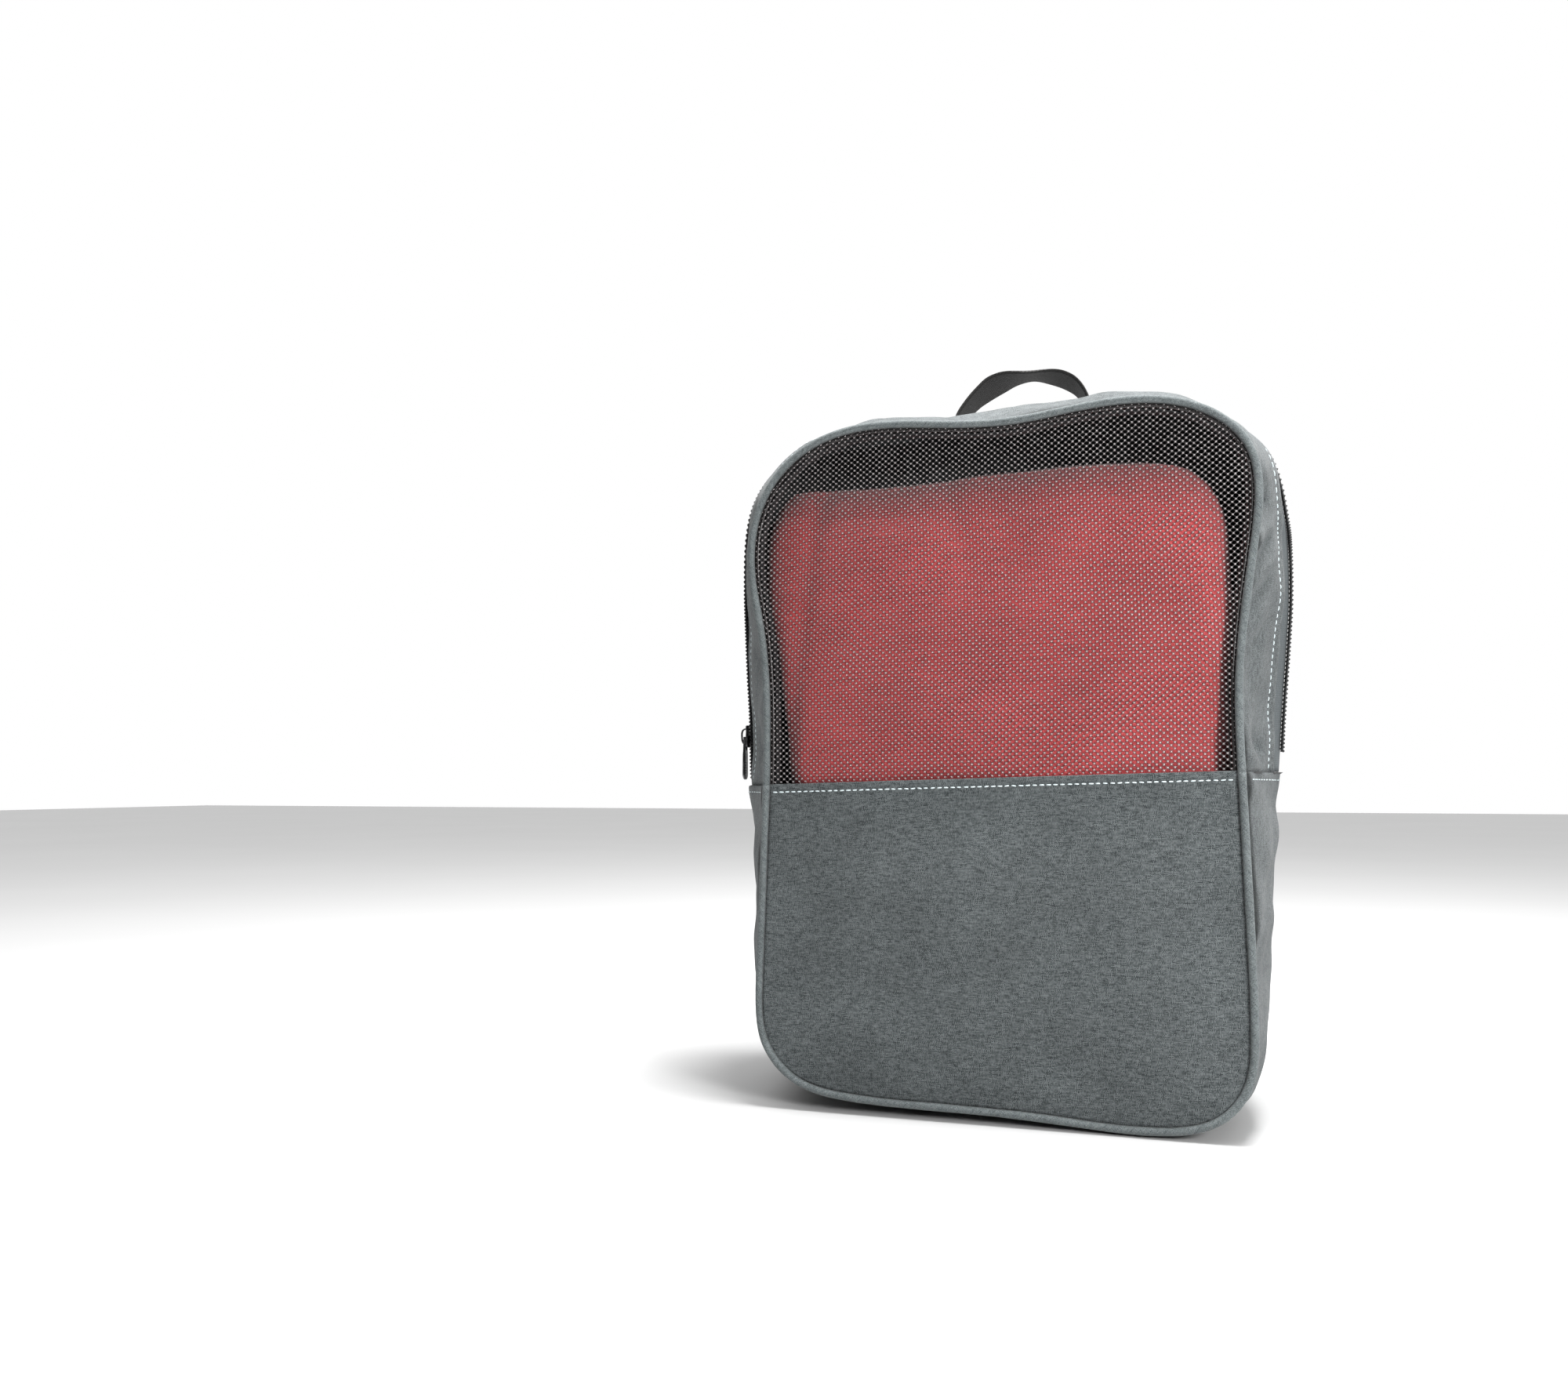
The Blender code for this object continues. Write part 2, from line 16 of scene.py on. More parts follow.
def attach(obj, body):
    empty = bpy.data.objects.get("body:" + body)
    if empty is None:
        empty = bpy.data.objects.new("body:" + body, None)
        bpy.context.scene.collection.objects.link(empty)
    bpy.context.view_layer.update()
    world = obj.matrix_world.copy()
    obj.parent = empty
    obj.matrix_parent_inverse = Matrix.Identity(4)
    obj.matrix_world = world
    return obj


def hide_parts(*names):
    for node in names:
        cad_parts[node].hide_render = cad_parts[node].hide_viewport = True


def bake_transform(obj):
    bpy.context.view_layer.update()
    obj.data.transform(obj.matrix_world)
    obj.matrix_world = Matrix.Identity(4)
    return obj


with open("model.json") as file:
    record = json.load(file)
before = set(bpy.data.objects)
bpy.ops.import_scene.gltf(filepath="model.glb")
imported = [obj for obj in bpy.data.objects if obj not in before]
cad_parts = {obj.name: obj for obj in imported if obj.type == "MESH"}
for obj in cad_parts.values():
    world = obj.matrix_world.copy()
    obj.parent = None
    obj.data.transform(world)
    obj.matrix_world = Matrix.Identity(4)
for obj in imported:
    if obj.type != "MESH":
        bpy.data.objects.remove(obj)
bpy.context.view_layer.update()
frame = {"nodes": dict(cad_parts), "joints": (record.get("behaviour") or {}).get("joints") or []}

# ---- driving sizes --------------------------------------------------------------------
DEPTH = 0.058                 # from the zip line to the plane of the front or back panel
PIPING_RADIUS = 0.0018
CORD_RADIUS = 0.0009
CLOTH_THICK = 0.0008
TAPE_THICK = 0.0007
ZIP_FOLD_Y = 0.0092           # folded edge of a gusset strip beside the zip
ZIP_STITCH_Y = 0.0152
ZIP_END = 0.0100              # the coil stops this far above the seam on the right
COIL_Y = 0.00125              # from the middle of the bag to the middle of a coil
COIL_PITCH = 0.00189
STITCH_PITCH = 0.0031
STITCH_LENGTH = 0.0021
SEAM_STITCH_DROP = 0.0034     # stitches below the folded edge of a seam
STITCH_SIDES = 6
PANEL_INSET = 0.0013          # from the middle of the piping to the edge of a panel
BACK_GAP = 0.0005             # left open where the piping meets itself round the back
GROUND = 0.0003               # lowest the cloth comes
GRID = 0.0022                 # spacing of the cloth's mesh
THREAD = 0.00046              # spacing of the threads in the melange cloth
# painted shade: the melange is made this dark in the groove beside the piping
SEAM_SHADE_TONE = 0.24            # how dark the melange is painted beside the piping

# Outline of the bag: x and z of the front piping, x and z of the zip line half way back, and
# how round the gusset is between them at the front and at the back (1 is a tent). The points in
# sight are read off lines measured in the photo through the fitted camera, then corrected; the
# points out of sight are guesses.
SHAPE = np.array((
    (0.1083, 0.1587, 0.1301, 0.1587, 0.95, 1.1),     # seam on the right
    (0.1080, 0.1840, 0.1323, 0.1840, 0.86, 1.2),
    (0.1091, 0.2080, 0.1346, 0.2100, 0.85, 1.2),
    (0.1124, 0.2340, 0.1371, 0.2380, 0.85, 1.2),
    (0.1165, 0.2600, 0.1378, 0.2660, 0.85, 1.2),
    (0.1190, 0.2840, 0.1364, 0.2830, 0.90, 1.4),     # top corner on the right
    (0.1150, 0.3040, 0.1306, 0.3100, 1.10, 1.8),
    (0.0985, 0.3205, 0.1125, 0.3292, 1.50, 2.6),
    (0.0740, 0.3278, 0.0860, 0.3445, 1.80, 3.4),
    (0.0420, 0.3268, 0.0500, 0.3446, 2.00, 4.0),     # top
    (0.0130, 0.3233, 0.0150, 0.3429, 2.00, 4.0),
    (-0.0200, 0.3243, -0.0240, 0.3416, 2.00, 4.0),
    (-0.0550, 0.3265, -0.0620, 0.3414, 1.90, 3.6),
    (-0.0830, 0.3205, -0.0940, 0.3380, 1.60, 2.8),   # top corner on the left
    (-0.1035, 0.3045, -0.1190, 0.3240, 1.30, 2.0),
    (-0.1145, 0.2810, -0.1352, 0.2975, 1.10, 1.5),
    (-0.1160, 0.2580, -0.1378, 0.2630, 1.00, 1.2),
    (-0.1112, 0.2290, -0.1369, 0.2320, 1.00, 1.2),
    (-0.1084, 0.2000, -0.1352, 0.2000, 1.00, 1.2),
    (-0.1080, 0.1760, -0.1343, 0.1760, 1.00, 1.2),
    (-0.1083, 0.1526, -0.1332, 0.1526, 1.20, 1.3),   # seam on the left
    (-0.1094, 0.1220, -0.1286, 0.1200, 1.80, 2.0),
    (-0.1105, 0.0900, -0.1272, 0.0850, 2.00, 2.2),
    (-0.1118, 0.0560, -0.1240, 0.0480, 2.20, 2.4),
    (-0.1085, 0.0300, -0.1150, 0.0220, 2.60, 2.8),   # bottom corner on the left
    (-0.0930, 0.0135, -0.0965, 0.0055, 3.00, 3.2),
    (-0.0700, 0.0078, -0.0700, 0.0008, 3.40, 3.6),
    (-0.0250, 0.0062, -0.0250, 0.0006, 3.60, 3.6),
    (0.0250, 0.0047, 0.0250, 0.0006, 3.60, 3.6),
    (0.0720, 0.0033, 0.0720, 0.0008, 3.40, 3.6),
    (0.0940, 0.0090, 0.0970, 0.0050, 3.00, 3.2),     # bottom corner on the right
    (0.1068, 0.0240, 0.1128, 0.0190, 2.60, 2.8),
    (0.1103, 0.0460, 0.1203, 0.0450, 2.20, 2.4),
    (0.1100, 0.0850, 0.1230, 0.0850, 2.00, 2.2),
    (0.1092, 0.1220, 0.1268, 0.1200, 1.80, 2.0),
))
SEAM_LEFT_ROW = 20
RIDGE_SOFT = 0.0015           # rounding of the tent at the zip

# Pulled folds in the gusset: place t and y, lean of t over y, half-length in y, width, height.
FOLDS = (
    (0.131, -0.0420, -0.30, 0.012, 0.0060, -0.0018),
    (0.117, -0.0440, 0.90, 0.014, 0.0040, -0.0020),
    (0.108, -0.0400, 0.55, 0.018, 0.0045, 0.0012),
    (0.099, -0.0430, 0.60, 0.014, 0.0040, -0.0016),
    (0.090, -0.0380, 0.50, 0.018, 0.0050, 0.0012),
    (0.081, -0.0420, 0.55, 0.016, 0.0040, -0.0014),
    (0.070, -0.0380, 0.50, 0.018, 0.0055, 0.0010),
    (0.058, -0.0430, 0.40, 0.012, 0.0050, -0.0010),
    (0.0125, -0.0330, -0.20, 0.008, 0.0045, -0.0024),
    (0.0060, -0.0430, 0.10, 0.007, 0.0035, 0.0012),
)


# ---- outlines and the gusset's surface --------------------------------------------------
def smooth(x):
    """0 below 0, 1 above 1, and an easy curve between."""
    x = np.clip(x, 0.0, 1.0)
    return x * x * (3.0 - 2.0 * x)


def lengths_along(points):
    """Length from the first point to each of the points, in straight steps."""
    return np.concatenate(([0.0], np.cumsum(np.linalg.norm(np.diff(points, axis=0), axis=1))))


KNOTS = lengths_along(np.vstack((SHAPE[:, :2], SHAPE[:1, :2])))
ROUND = KNOTS[-1]
SEAM_LEFT = KNOTS[SEAM_LEFT_ROW]


def closed_spline_bends():
    """Second slopes at the knots of the smooth closed curve through SHAPE."""
    count = len(SHAPE)
    span = np.diff(KNOTS)
    rise = (np.roll(SHAPE, -1, axis=0) - SHAPE) / span[:, None]
    matrix = np.zeros((count, count))
    for i in range(count):
        matrix[i, i - 1] += span[i - 1]
        matrix[i, i] += 2.0 * (span[i - 1] + span[i])
        matrix[i, (i + 1) % count] += span[i]
    return np.linalg.solve(matrix, 6.0 * (rise - np.roll(rise, 1, axis=0)))


BENDS = closed_spline_bends()


def outline(t):
    """Rows of SHAPE at lengths t, on the smooth curve through them."""
    t = np.mod(t, ROUND)
    i = np.clip(np.searchsorted(KNOTS, t, side="right") - 1, 0, len(SHAPE) - 1)
    j = (i + 1) % len(SHAPE)
    span = (KNOTS[i + 1] - KNOTS[i])[..., None]
    b = (t - KNOTS[i])[..., None] / span
    a = 1.0 - b
    curve = (a ** 3 - a) * BENDS[i] + (b ** 3 - b) * BENDS[j]
    return a * SHAPE[i] + b * SHAPE[j] + curve * span ** 2 / 6.0


def bare_gusset(t, y):
    """Smooth gusset surface, before its ripples."""
    row = outline(t)
    power = np.where(y < 0.0, row[..., 4], row[..., 5])
    away = np.sqrt(y ** 2 + RIDGE_SOFT ** 2) - RIDGE_SOFT
    full = math.sqrt(DEPTH ** 2 + RIDGE_SOFT ** 2) - RIDGE_SOFT
    swell = 1.0 - np.clip(away / full, 0.0, 1.0) ** power
    x = row[..., 0] + (row[..., 2] - row[..., 0]) * swell
    z = row[..., 1] + (row[..., 3] - row[..., 1]) * swell
    return np.stack((x, np.broadcast_to(y, x.shape), z), axis=-1)


def waves(u, v, seed, height, longest, shortest):
    """Seeded sum of slow waves over a cloth, about height tall."""
    draw = np.random.default_rng(seed)
    total = np.zeros(np.broadcast(u, v).shape)
    for step in range(9):
        length = longest * (shortest / longest) ** (step / 8.0)
        angle = draw.uniform(0.0, math.pi)
        phase = draw.uniform(0.0, 2.0 * math.pi)
        along = u * math.cos(angle) + v * math.sin(angle)
        total = total + height * length / longest * np.sin(2.0 * math.pi * along / length + phase)
    return total * 0.6


def ripple(t, y):
    """How far the gusset cloth stands out of its smooth shape."""
    t = np.mod(t, ROUND)
    held = smooth((DEPTH - np.abs(y)) / 0.010)
    upper = smooth((SEAM_LEFT - t) / 0.004)
    zip_hold = 1.0 - 0.92 * upper * np.exp(-(y / 0.012) ** 2)
    low = 1.0 - 0.6 * smooth((np.abs(t - 0.5 * (SEAM_LEFT + ROUND)) - 0.02) / -0.10)
    total = waves(t, y, 11, 0.0011, 0.075, 0.016) * low
    for at, depth, lean, half, width, height in FOLDS:
        off = (t - at) - lean * (y - depth)
        reach = (y - depth) / half
        total = total + height * np.exp(-(off / width) ** 2 - reach ** 4)
        mirror = (SEAM_LEFT - t - at - 0.004) - lean * (y - depth)
        total = total + 0.7 * height * np.exp(-(mirror / width) ** 2 - reach ** 4)
    stitch = np.exp(-((np.abs(y) - ZIP_STITCH_Y) / 0.0016) ** 2)
    edge = np.exp(-((np.abs(y) - ZIP_FOLD_Y - 0.0012) / 0.0016) ** 2)
    return total * held * zip_hold + upper * (0.0005 * edge - 0.0005 * stitch)


def gusset(t, y, lift=0.0):
    """Points on the gusset's outside, lifted outwards, and the directions outwards."""
    t, y = np.broadcast_arrays(np.asarray(t, float), np.asarray(y, float))
    step = 0.0003
    along = bare_gusset(t + step, y) - bare_gusset(t - step, y)
    across = bare_gusset(t, y + step) - bare_gusset(t, y - step)
    out = np.cross(across, along)
    out = out / np.linalg.norm(out, axis=-1, keepdims=True)
    points = bare_gusset(t, y) + out * (lift + ripple(t, y))[..., None]
    points[..., 2] = np.maximum(points[..., 2], GROUND)
    return points, out


# ---- panels ----------------------------------------------------------------------------
def seam_z(x):
    """Height of the seam between the net and the lower panel: it climbs to the right."""
    left, right = SHAPE[SEAM_LEFT_ROW], SHAPE[0]
    share = (x - left[0]) / (right[0] - left[0])
    return left[1] + (right[1] - left[1]) * share


EDGE_CELL = 0.0015
EDGE_LOW = np.array((-0.1305, -0.0060))
EDGE_COUNT = (175, 230)


def edge_map():
    """Signed distance inwards from the middle of the piping, on a grid over the panel."""
    line = outline(np.linspace(0.0, ROUND, 900, endpoint=False))[:, :2]
    ahead = np.roll(line, -1, axis=0) - line
    x = EDGE_LOW[0] + EDGE_CELL * np.arange(EDGE_COUNT[0])
    z = EDGE_LOW[1] + EDGE_CELL * np.arange(EDGE_COUNT[1])
    depths = np.zeros(EDGE_COUNT)
    for i, here in enumerate(x):
        to = np.stack((here - line[:, 0][None, :].repeat(len(z), 0),
                       z[:, None] - line[:, 1][None, :]), axis=-1)
        share = np.clip((to * ahead).sum(-1) / (ahead ** 2).sum(-1), 0.0, 1.0)
        gap = to - share[..., None] * ahead
        far = np.linalg.norm(gap, axis=-1)
        near = far.argmin(axis=1)
        rows = np.arange(len(z))
        side = ahead[near, 0] * gap[rows, near, 1] - ahead[near, 1] * gap[rows, near, 0]
        depths[i] = far[rows, near] * np.sign(side)
    return depths


EDGE_MAP = edge_map()


def edge_depth(x, z):
    """Distance inwards from the middle of the piping."""
    u = np.clip((x - EDGE_LOW[0]) / EDGE_CELL, 0.0, EDGE_COUNT[0] - 1.001)
    v = np.clip((z - EDGE_LOW[1]) / EDGE_CELL, 0.0, EDGE_COUNT[1] - 1.001)
    i, j = u.astype(int), v.astype(int)
    a, b = u - i, v - j
    low = EDGE_MAP[i, j] * (1.0 - a) + EDGE_MAP[i + 1, j] * a
    high = EDGE_MAP[i, j + 1] * (1.0 - a) + EDGE_MAP[i + 1, j + 1] * a
    return low * (1.0 - b) + high * b


def front_y(x, z):
    """Depth of the front panels: drawn in at the piping, soft and a little full in the middle."""
    inside = np.maximum(edge_depth(x, z), 0.0)
    full = smooth(inside / 0.045)
    calm = smooth(inside / 0.014)
    soft = waves(x, z, 5, 0.0011, 0.130, 0.030) * calm
    seam = 0.0006 * np.exp(-((z - seam_z(x)) / 0.010) ** 2) * calm
    return -DEPTH + 0.0010 - 0.0032 * full - soft - seam


def back_y(x, z):
    """Depth of the back panel."""
    inside = np.maximum(edge_depth(x, z), 0.0)
    soft = waves(x, z, 23, 0.0014, 0.140, 0.030) * smooth(inside / 0.014)
    return DEPTH - 0.0010 + 0.0030 * smooth(inside / 0.045) + soft


# ---- mesh makers -----------------------------------------------------------------------
def placed(name, data):
    """A new object in the scene."""
    obj = bpy.data.objects.new(name, data)
    bpy.context.scene.collection.objects.link(obj)
    return obj


def mesh_object(name, verts, faces, attributes):
    """An object from points and faces, with values stored on its points."""
    data = bpy.data.meshes.new(name)
    data.from_pydata(np.asarray(verts).reshape(-1, 3).tolist(), [], faces)
    for label, values in attributes.items():
        values = np.asarray(values, np.float32)
        kind = "FLOAT" if values.ndim == 1 else "FLOAT_VECTOR"
        made = data.attributes.new(label, kind, "POINT")
        made.data.foreach_set("value" if kind == "FLOAT" else "vector", values.ravel())
    data.shade_smooth()
    data.update()
    return placed(name, data)


def tube_faces(index):
    """Faces between rings of point numbers; the last two axes are ring and place in it."""
    turned = np.roll(index, -1, axis=-1)
    faces = (index[..., :-1, :], turned[..., :-1, :], turned[..., 1:, :], index[..., 1:, :])
    return np.stack(faces, axis=-1).reshape(-1, 4).tolist()


def flat_coords(u, v):
    """Weave coordinates as three numbers for each point, in metres on the flat cloth."""
    u, v = np.broadcast_arrays(u, v)
    return np.stack((u, v, np.zeros(u.shape)), axis=-1).reshape(-1, 3)


def cloth(name, points, weave, material, lining=None, thickness=CLOTH_THICK, painted_seam_shade=False):
    """Cloth over a grid of points whose columns, then rows, turn about the way out.

    A cloth with painted seam shade is marked 1 in its seam against the piping. There its
    material is darker: painted shade, part of the dark line that the photo shows beside the piping."""
    rows, columns = points.shape[:2]
    index = np.arange(rows * columns).reshape(rows, columns)
    faces = np.stack((index[:-1, :-1], index[:-1, 1:], index[1:, 1:], index[1:, :-1]), axis=-1)
    # painted shade: the crease mark is 1 in the groove beside the piping
    crease = painted_seam_shade * smooth((np.abs(points[..., 1].ravel()) - DEPTH + 0.0078) / 0.0030)
    obj = mesh_object(name, points, faces.reshape(-1, 4).tolist(),
                      {"weave": weave, "crease": crease})
    obj.data.materials.append(material)
    obj.data.materials.append(lining or material)
    solid = obj.modifiers.new("thickness", "SOLIDIFY")
    solid.thickness = thickness
    solid.offset = -1.0
    solid.material_offset = 1
    solid.use_quality_normals = True
    return obj


def close_and_turn_out(obj):
    """Make the faces of a closed mesh point outwards."""
    mesh = bmesh.new()
    mesh.from_mesh(obj.data)
    bmesh.ops.recalc_face_normals(mesh, faces=mesh.faces)
    mesh.to_mesh(obj.data)
    mesh.free()
    return obj


def ring_tube(name, centres, first, second, material, sides=12, capped=True, crease=None):
    """A tube through centres; first and second are the half-axes of each of its rings."""
    count = len(centres)
    angles = np.linspace(0.0, 2.0 * math.pi, sides, endpoint=False)
    verts = (centres[:, None, :] + first[:, None, :] * np.cos(angles)[None, :, None]
             + second[:, None, :] * np.sin(angles)[None, :, None])
    index = np.arange(count * sides).reshape(count, sides)
    faces = tube_faces(index)
    if capped:
        faces.append(index[0][::-1].tolist())
        faces.append(index[-1].tolist())
    radius = np.linalg.norm(first, axis=1).mean()
    along = lengths_along(centres)
    values = {"weave": flat_coords(along[:, None], (angles * radius)[None, :])}
    # a crease mark, when given, is painted shade in the melange
    if crease is not None:
        values["crease"] = np.broadcast_to(crease(angles), (count, sides)).ravel()
    obj = mesh_object(name, verts, faces, values)
    obj.data.materials.append(material)
    return close_and_turn_out(obj)


def unit(vectors):
    return vectors / np.linalg.norm(vectors, axis=-1, keepdims=True)


STITCH_RINGS = np.array((0.0, 0.10, 0.35, 0.65, 0.90, 1.0))
STITCH_GIRTH = np.array((0.35, 0.85, 1.0, 1.0, 0.85, 0.35))
STITCH_RISE = np.array((-0.9, 0.10, 0.55, 0.55, 0.10, -0.9))


def stitches(name, where, start, end, material, radius=0.00028, length=STITCH_LENGTH,
             pitch=STITCH_PITCH, seed=3):
    """A row of stitches; where(s) gives points and the ways out at lengths s."""
    draw = np.random.default_rng(seed)
    count = int((end - start) / pitch)
    begin = start + pitch * (np.arange(count) + 0.15) + draw.normal(0.0, 0.00006, count)
    long = length * (1.0 + draw.normal(0.0, 0.04, count))
    s = begin[:, None] + long[:, None] * STITCH_RINGS[None, :]
    points, out = where(s)
    ahead = unit(where(s + 0.0002)[0] - where(s - 0.0002)[0])
    side = unit(np.cross(ahead, out))
    girth = radius * STITCH_GIRTH[None, :, None]
    centre = points + out * (STITCH_RISE[None, :, None] * radius)
    slant = side * draw.normal(0.0, 0.00008, (count, 1, 1))
    centre = centre + slant * np.linspace(-1.0, 1.0, len(STITCH_RINGS))[None, :, None]
    angles = np.linspace(0.0, 2.0 * math.pi, STITCH_SIDES, endpoint=False)
    rings = (centre[:, :, None, :]
             + (side * girth * 1.1)[:, :, None, :] * np.cos(angles)[None, None, :, None]
             + (out * girth)[:, :, None, :] * np.sin(angles)[None, None, :, None])
    shape = (count, len(STITCH_RINGS), STITCH_SIDES)
    index = np.arange(np.prod(shape)).reshape(shape)
    faces = tube_faces(index) + index[:, 0, ::-1].tolist() + index[:, -1].tolist()
    weave = flat_coords(s[:, :, None], (angles * radius)[None, None, :])
    obj = mesh_object(name, rings, faces, {"weave": weave})
    obj.data.materials.append(material)
    return close_and_turn_out(obj)


# ---- materials -------------------------------------------------------------------------
class Nodes:
    """Short ways to write shader nodes."""

    def __init__(self, tree):
        self.tree = tree

    def node(self, kind, settings=None, inputs=None):
        made = self.tree.nodes.new("ShaderNode" + kind)
        for key, value in (settings or {}).items():
            setattr(made, key, value)
        for key, value in (inputs or {}).items():
            self.put(made.inputs[key], value)
        return made

    def put(self, socket, value):
        if isinstance(value, bpy.types.NodeSocket):
            self.tree.links.new(value, socket)
        else:
            socket.default_value = value

    def math(self, operation, *values):
        made = self.node("Math", {"operation": operation})
        for socket, value in zip(made.inputs, values):
            self.put(socket, value)
        return made.outputs[0]

    def times(self, first, second):
        return self.math("MULTIPLY", first, second)

    def range(self, value, low, high, to_low=0.0, to_high=1.0):
        made = self.node("MapRange", inputs={"Value": value, "From Min": low, "From Max": high,
                                             "To Min": to_low, "To Max": to_high})
        return made.outputs["Result"]


class Paint(Nodes):
    """A Principled material and short ways to write its nodes."""

    def __init__(self, name, finish):
        self.material = bpy.data.materials.new(name)
        self.material.use_nodes = True
        super().__init__(self.material.node_tree)
        self.shader = self.tree.nodes["Principled BSDF"]
        for socket, value in finish.items():
            self.shader.inputs[socket].default_value = value

    def mark(self, name):
        """A value stored on the mesh's points."""
        return self.node("Attribute", {"attribute_name": name}).outputs["Fac"]

    def weave(self, scale=1.0, turn=0.0):
        """Weave coordinates, divided by scale and turned by an angle."""
        source = self.node("Attribute", {"attribute_name": "weave"})
        split = self.node("SeparateXYZ", inputs={"Vector": source.outputs["Vector"]})
        u = self.math("DIVIDE", split.outputs["X"], scale)
        v = self.math("DIVIDE", split.outputs["Y"], scale)
        if not turn:
            return u, v
        c, s = math.cos(turn), math.sin(turn)
        first = self.math("ADD", self.times(u, c), self.times(v, s))
        second = self.math("SUBTRACT", self.times(v, c), self.times(u, s))
        return first, second

    def noise(self, vector, scale=1.0, detail=2.0):
        made = self.node("TexNoise", inputs={"Vector": vector, "Scale": scale,
                                             "Detail": detail, "Roughness": 0.5})
        return made.outputs["Fac"]

    def cloud(self, u, v, layer=0.0, detail=3.0):
        """Noise over the flat cloth."""
        place = self.node("CombineXYZ", inputs={"X": u, "Y": v, "Z": layer})
        return self.noise(place.outputs[0], detail=detail)

    def hump(self, value):
        """Half a sine wave over each whole step of the value."""
        return self.math("SINE", self.times(self.math("FRACT", value), math.pi))

    def mix(self, share, first, second):
        """Number between first and second."""
        made = self.node("Mix", {"data_type": "FLOAT"})
        for slot, value in ((0, share), (2, first), (3, second)):
            self.put(made.inputs[slot], value)
        return made.outputs[0]

    def colour(self, share, first, second, amount=None):
        """Base colour between first and second, made darker or lighter by an amount."""
        made = self.node("Mix", {"data_type": "RGBA"})
        for slot, value in ((0, share), (6, (*first, 1.0)), (7, (*second, 1.0))):
            self.put(made.inputs[slot], value)
        value = made.outputs[2]
        if amount is not None:
            scaled = self.node("VectorMath", {"operation": "SCALE"})
            self.put(scaled.inputs[0], value)
            self.put(scaled.inputs["Scale"], amount)
            value = scaled.outputs[0]
        self.put(self.shader.inputs["Base Color"], value)

    def rough(self, value, low, high):
        self.put(self.shader.inputs["Roughness"], self.range(value, 0.3, 0.7, low, high))

    def bump(self, height, distance, strength):
        made = self.node("Bump", inputs={"Height": height, "Distance": distance,
                                         "Strength": strength})
        self.put(self.shader.inputs["Normal"], made.outputs[0])


def thread_cells(paint, u, v):
    """Plain weave: the number of each thread, which one is on top, and its height."""
    warp = paint.math("FLOOR", u)
    weft = paint.math("FLOOR", v)
    over = paint.math("FLOORED_MODULO", paint.math("ADD", warp, weft), 2.0)
    round_u, round_v = paint.hump(u), paint.hump(v)
    warp_high = paint.times(round_u, paint.range(round_v, 0.0, 1.0, 0.5, 1.0))
    weft_high = paint.times(round_v, paint.range(round_u, 0.0, 1.0, 0.5, 1.0))
    return warp, weft, over, paint.mix(over, warp_high, weft_high)


def melange(name, dark, light, turn=0.0, contrast=1.0):
    """Heather-grey polyester: plain weave of threads that are dark and light by turns."""
    paint = Paint(name, {"Roughness": 0.86, "Sheen Weight": 0.12, "Sheen Roughness": 0.5,
                         "Specular IOR Level": 0.25})
    u, v = paint.weave(THREAD, turn)
    warp, weft, over, height = thread_cells(paint, u, v)
    warp_tone = paint.cloud(paint.times(warp, 7.31), paint.times(v, 0.26), 1.0, 1.5)
    weft_tone = paint.cloud(paint.times(u, 0.12), paint.times(weft, 5.77), 8.0, 1.5)
    half = 0.20 / contrast
    share = paint.range(paint.mix(over, warp_tone, weft_tone), 0.5 - half, 0.5 + half)
    mottle_and_shade = paint.cloud(paint.times(u, 0.016), paint.times(v, 0.016), 3.0)
    mottle_and_shade = paint.range(mottle_and_shade, 0.3, 0.7, 0.90, 1.10)
    # painted shade: darker where the crease mark is 1, in the seam beside the piping
    mottle_and_shade = paint.times(mottle_and_shade, paint.range(paint.mark("crease"), 0.0, 1.0, 1.0, SEAM_SHADE_TONE))
    # painted shade and highlight of the weave: darker in its hollows, a little lighter on the thread
    # tops
    weave_shade = paint.range(height, 0.0, 1.0, 0.60, 1.08)
    paint.colour(share, dark, light, paint.times(mottle_and_shade, weave_shade))
    paint.bump(height, 0.00012, 0.6)
    return paint.material


def coated_back_and_shade(name):
    """Inside of the cloth: a dark rubbery coating over the weave, made darker by painted shade."""
    paint = Paint(name, {"Roughness": 0.62, "Specular IOR Level": 0.3})
    u, v = paint.weave(THREAD)
    height = thread_cells(paint, u, v)[3]
    cloud = paint.cloud(paint.times(u, 0.05), paint.times(v, 0.05))
    paint.colour(paint.range(cloud, 0.3, 0.7), (0.030, 0.031, 0.032), (0.048, 0.049, 0.050))
    paint.bump(height, 0.00006, 0.5)
    return paint.material


def black_net(name):
    """Shiny black yarn of the net, with a pale grey painted highlight on the knots."""
    paint = Paint(name, {"Specular IOR Level": 0.6, "Alpha": 0.74})
    u, v = paint.weave(0.00022, 0.6)
    fibre = paint.cloud(paint.times(u, 0.3), v, detail=1.0)
    # painted highlight: the knot mark mixes the yarn towards pale grey
    share = paint.times(paint.range(paint.mark("knot"), 0.30, 0.85),
                        paint.range(fibre, 0.3, 0.7, 0.5, 1.0))
    paint.colour(share, (0.010, 0.007, 0.007), (0.78, 0.72, 0.72))
    paint.rough(fibre, 0.28, 0.42)
    paint.bump(fibre, 0.00008, 0.5)
    return paint.material


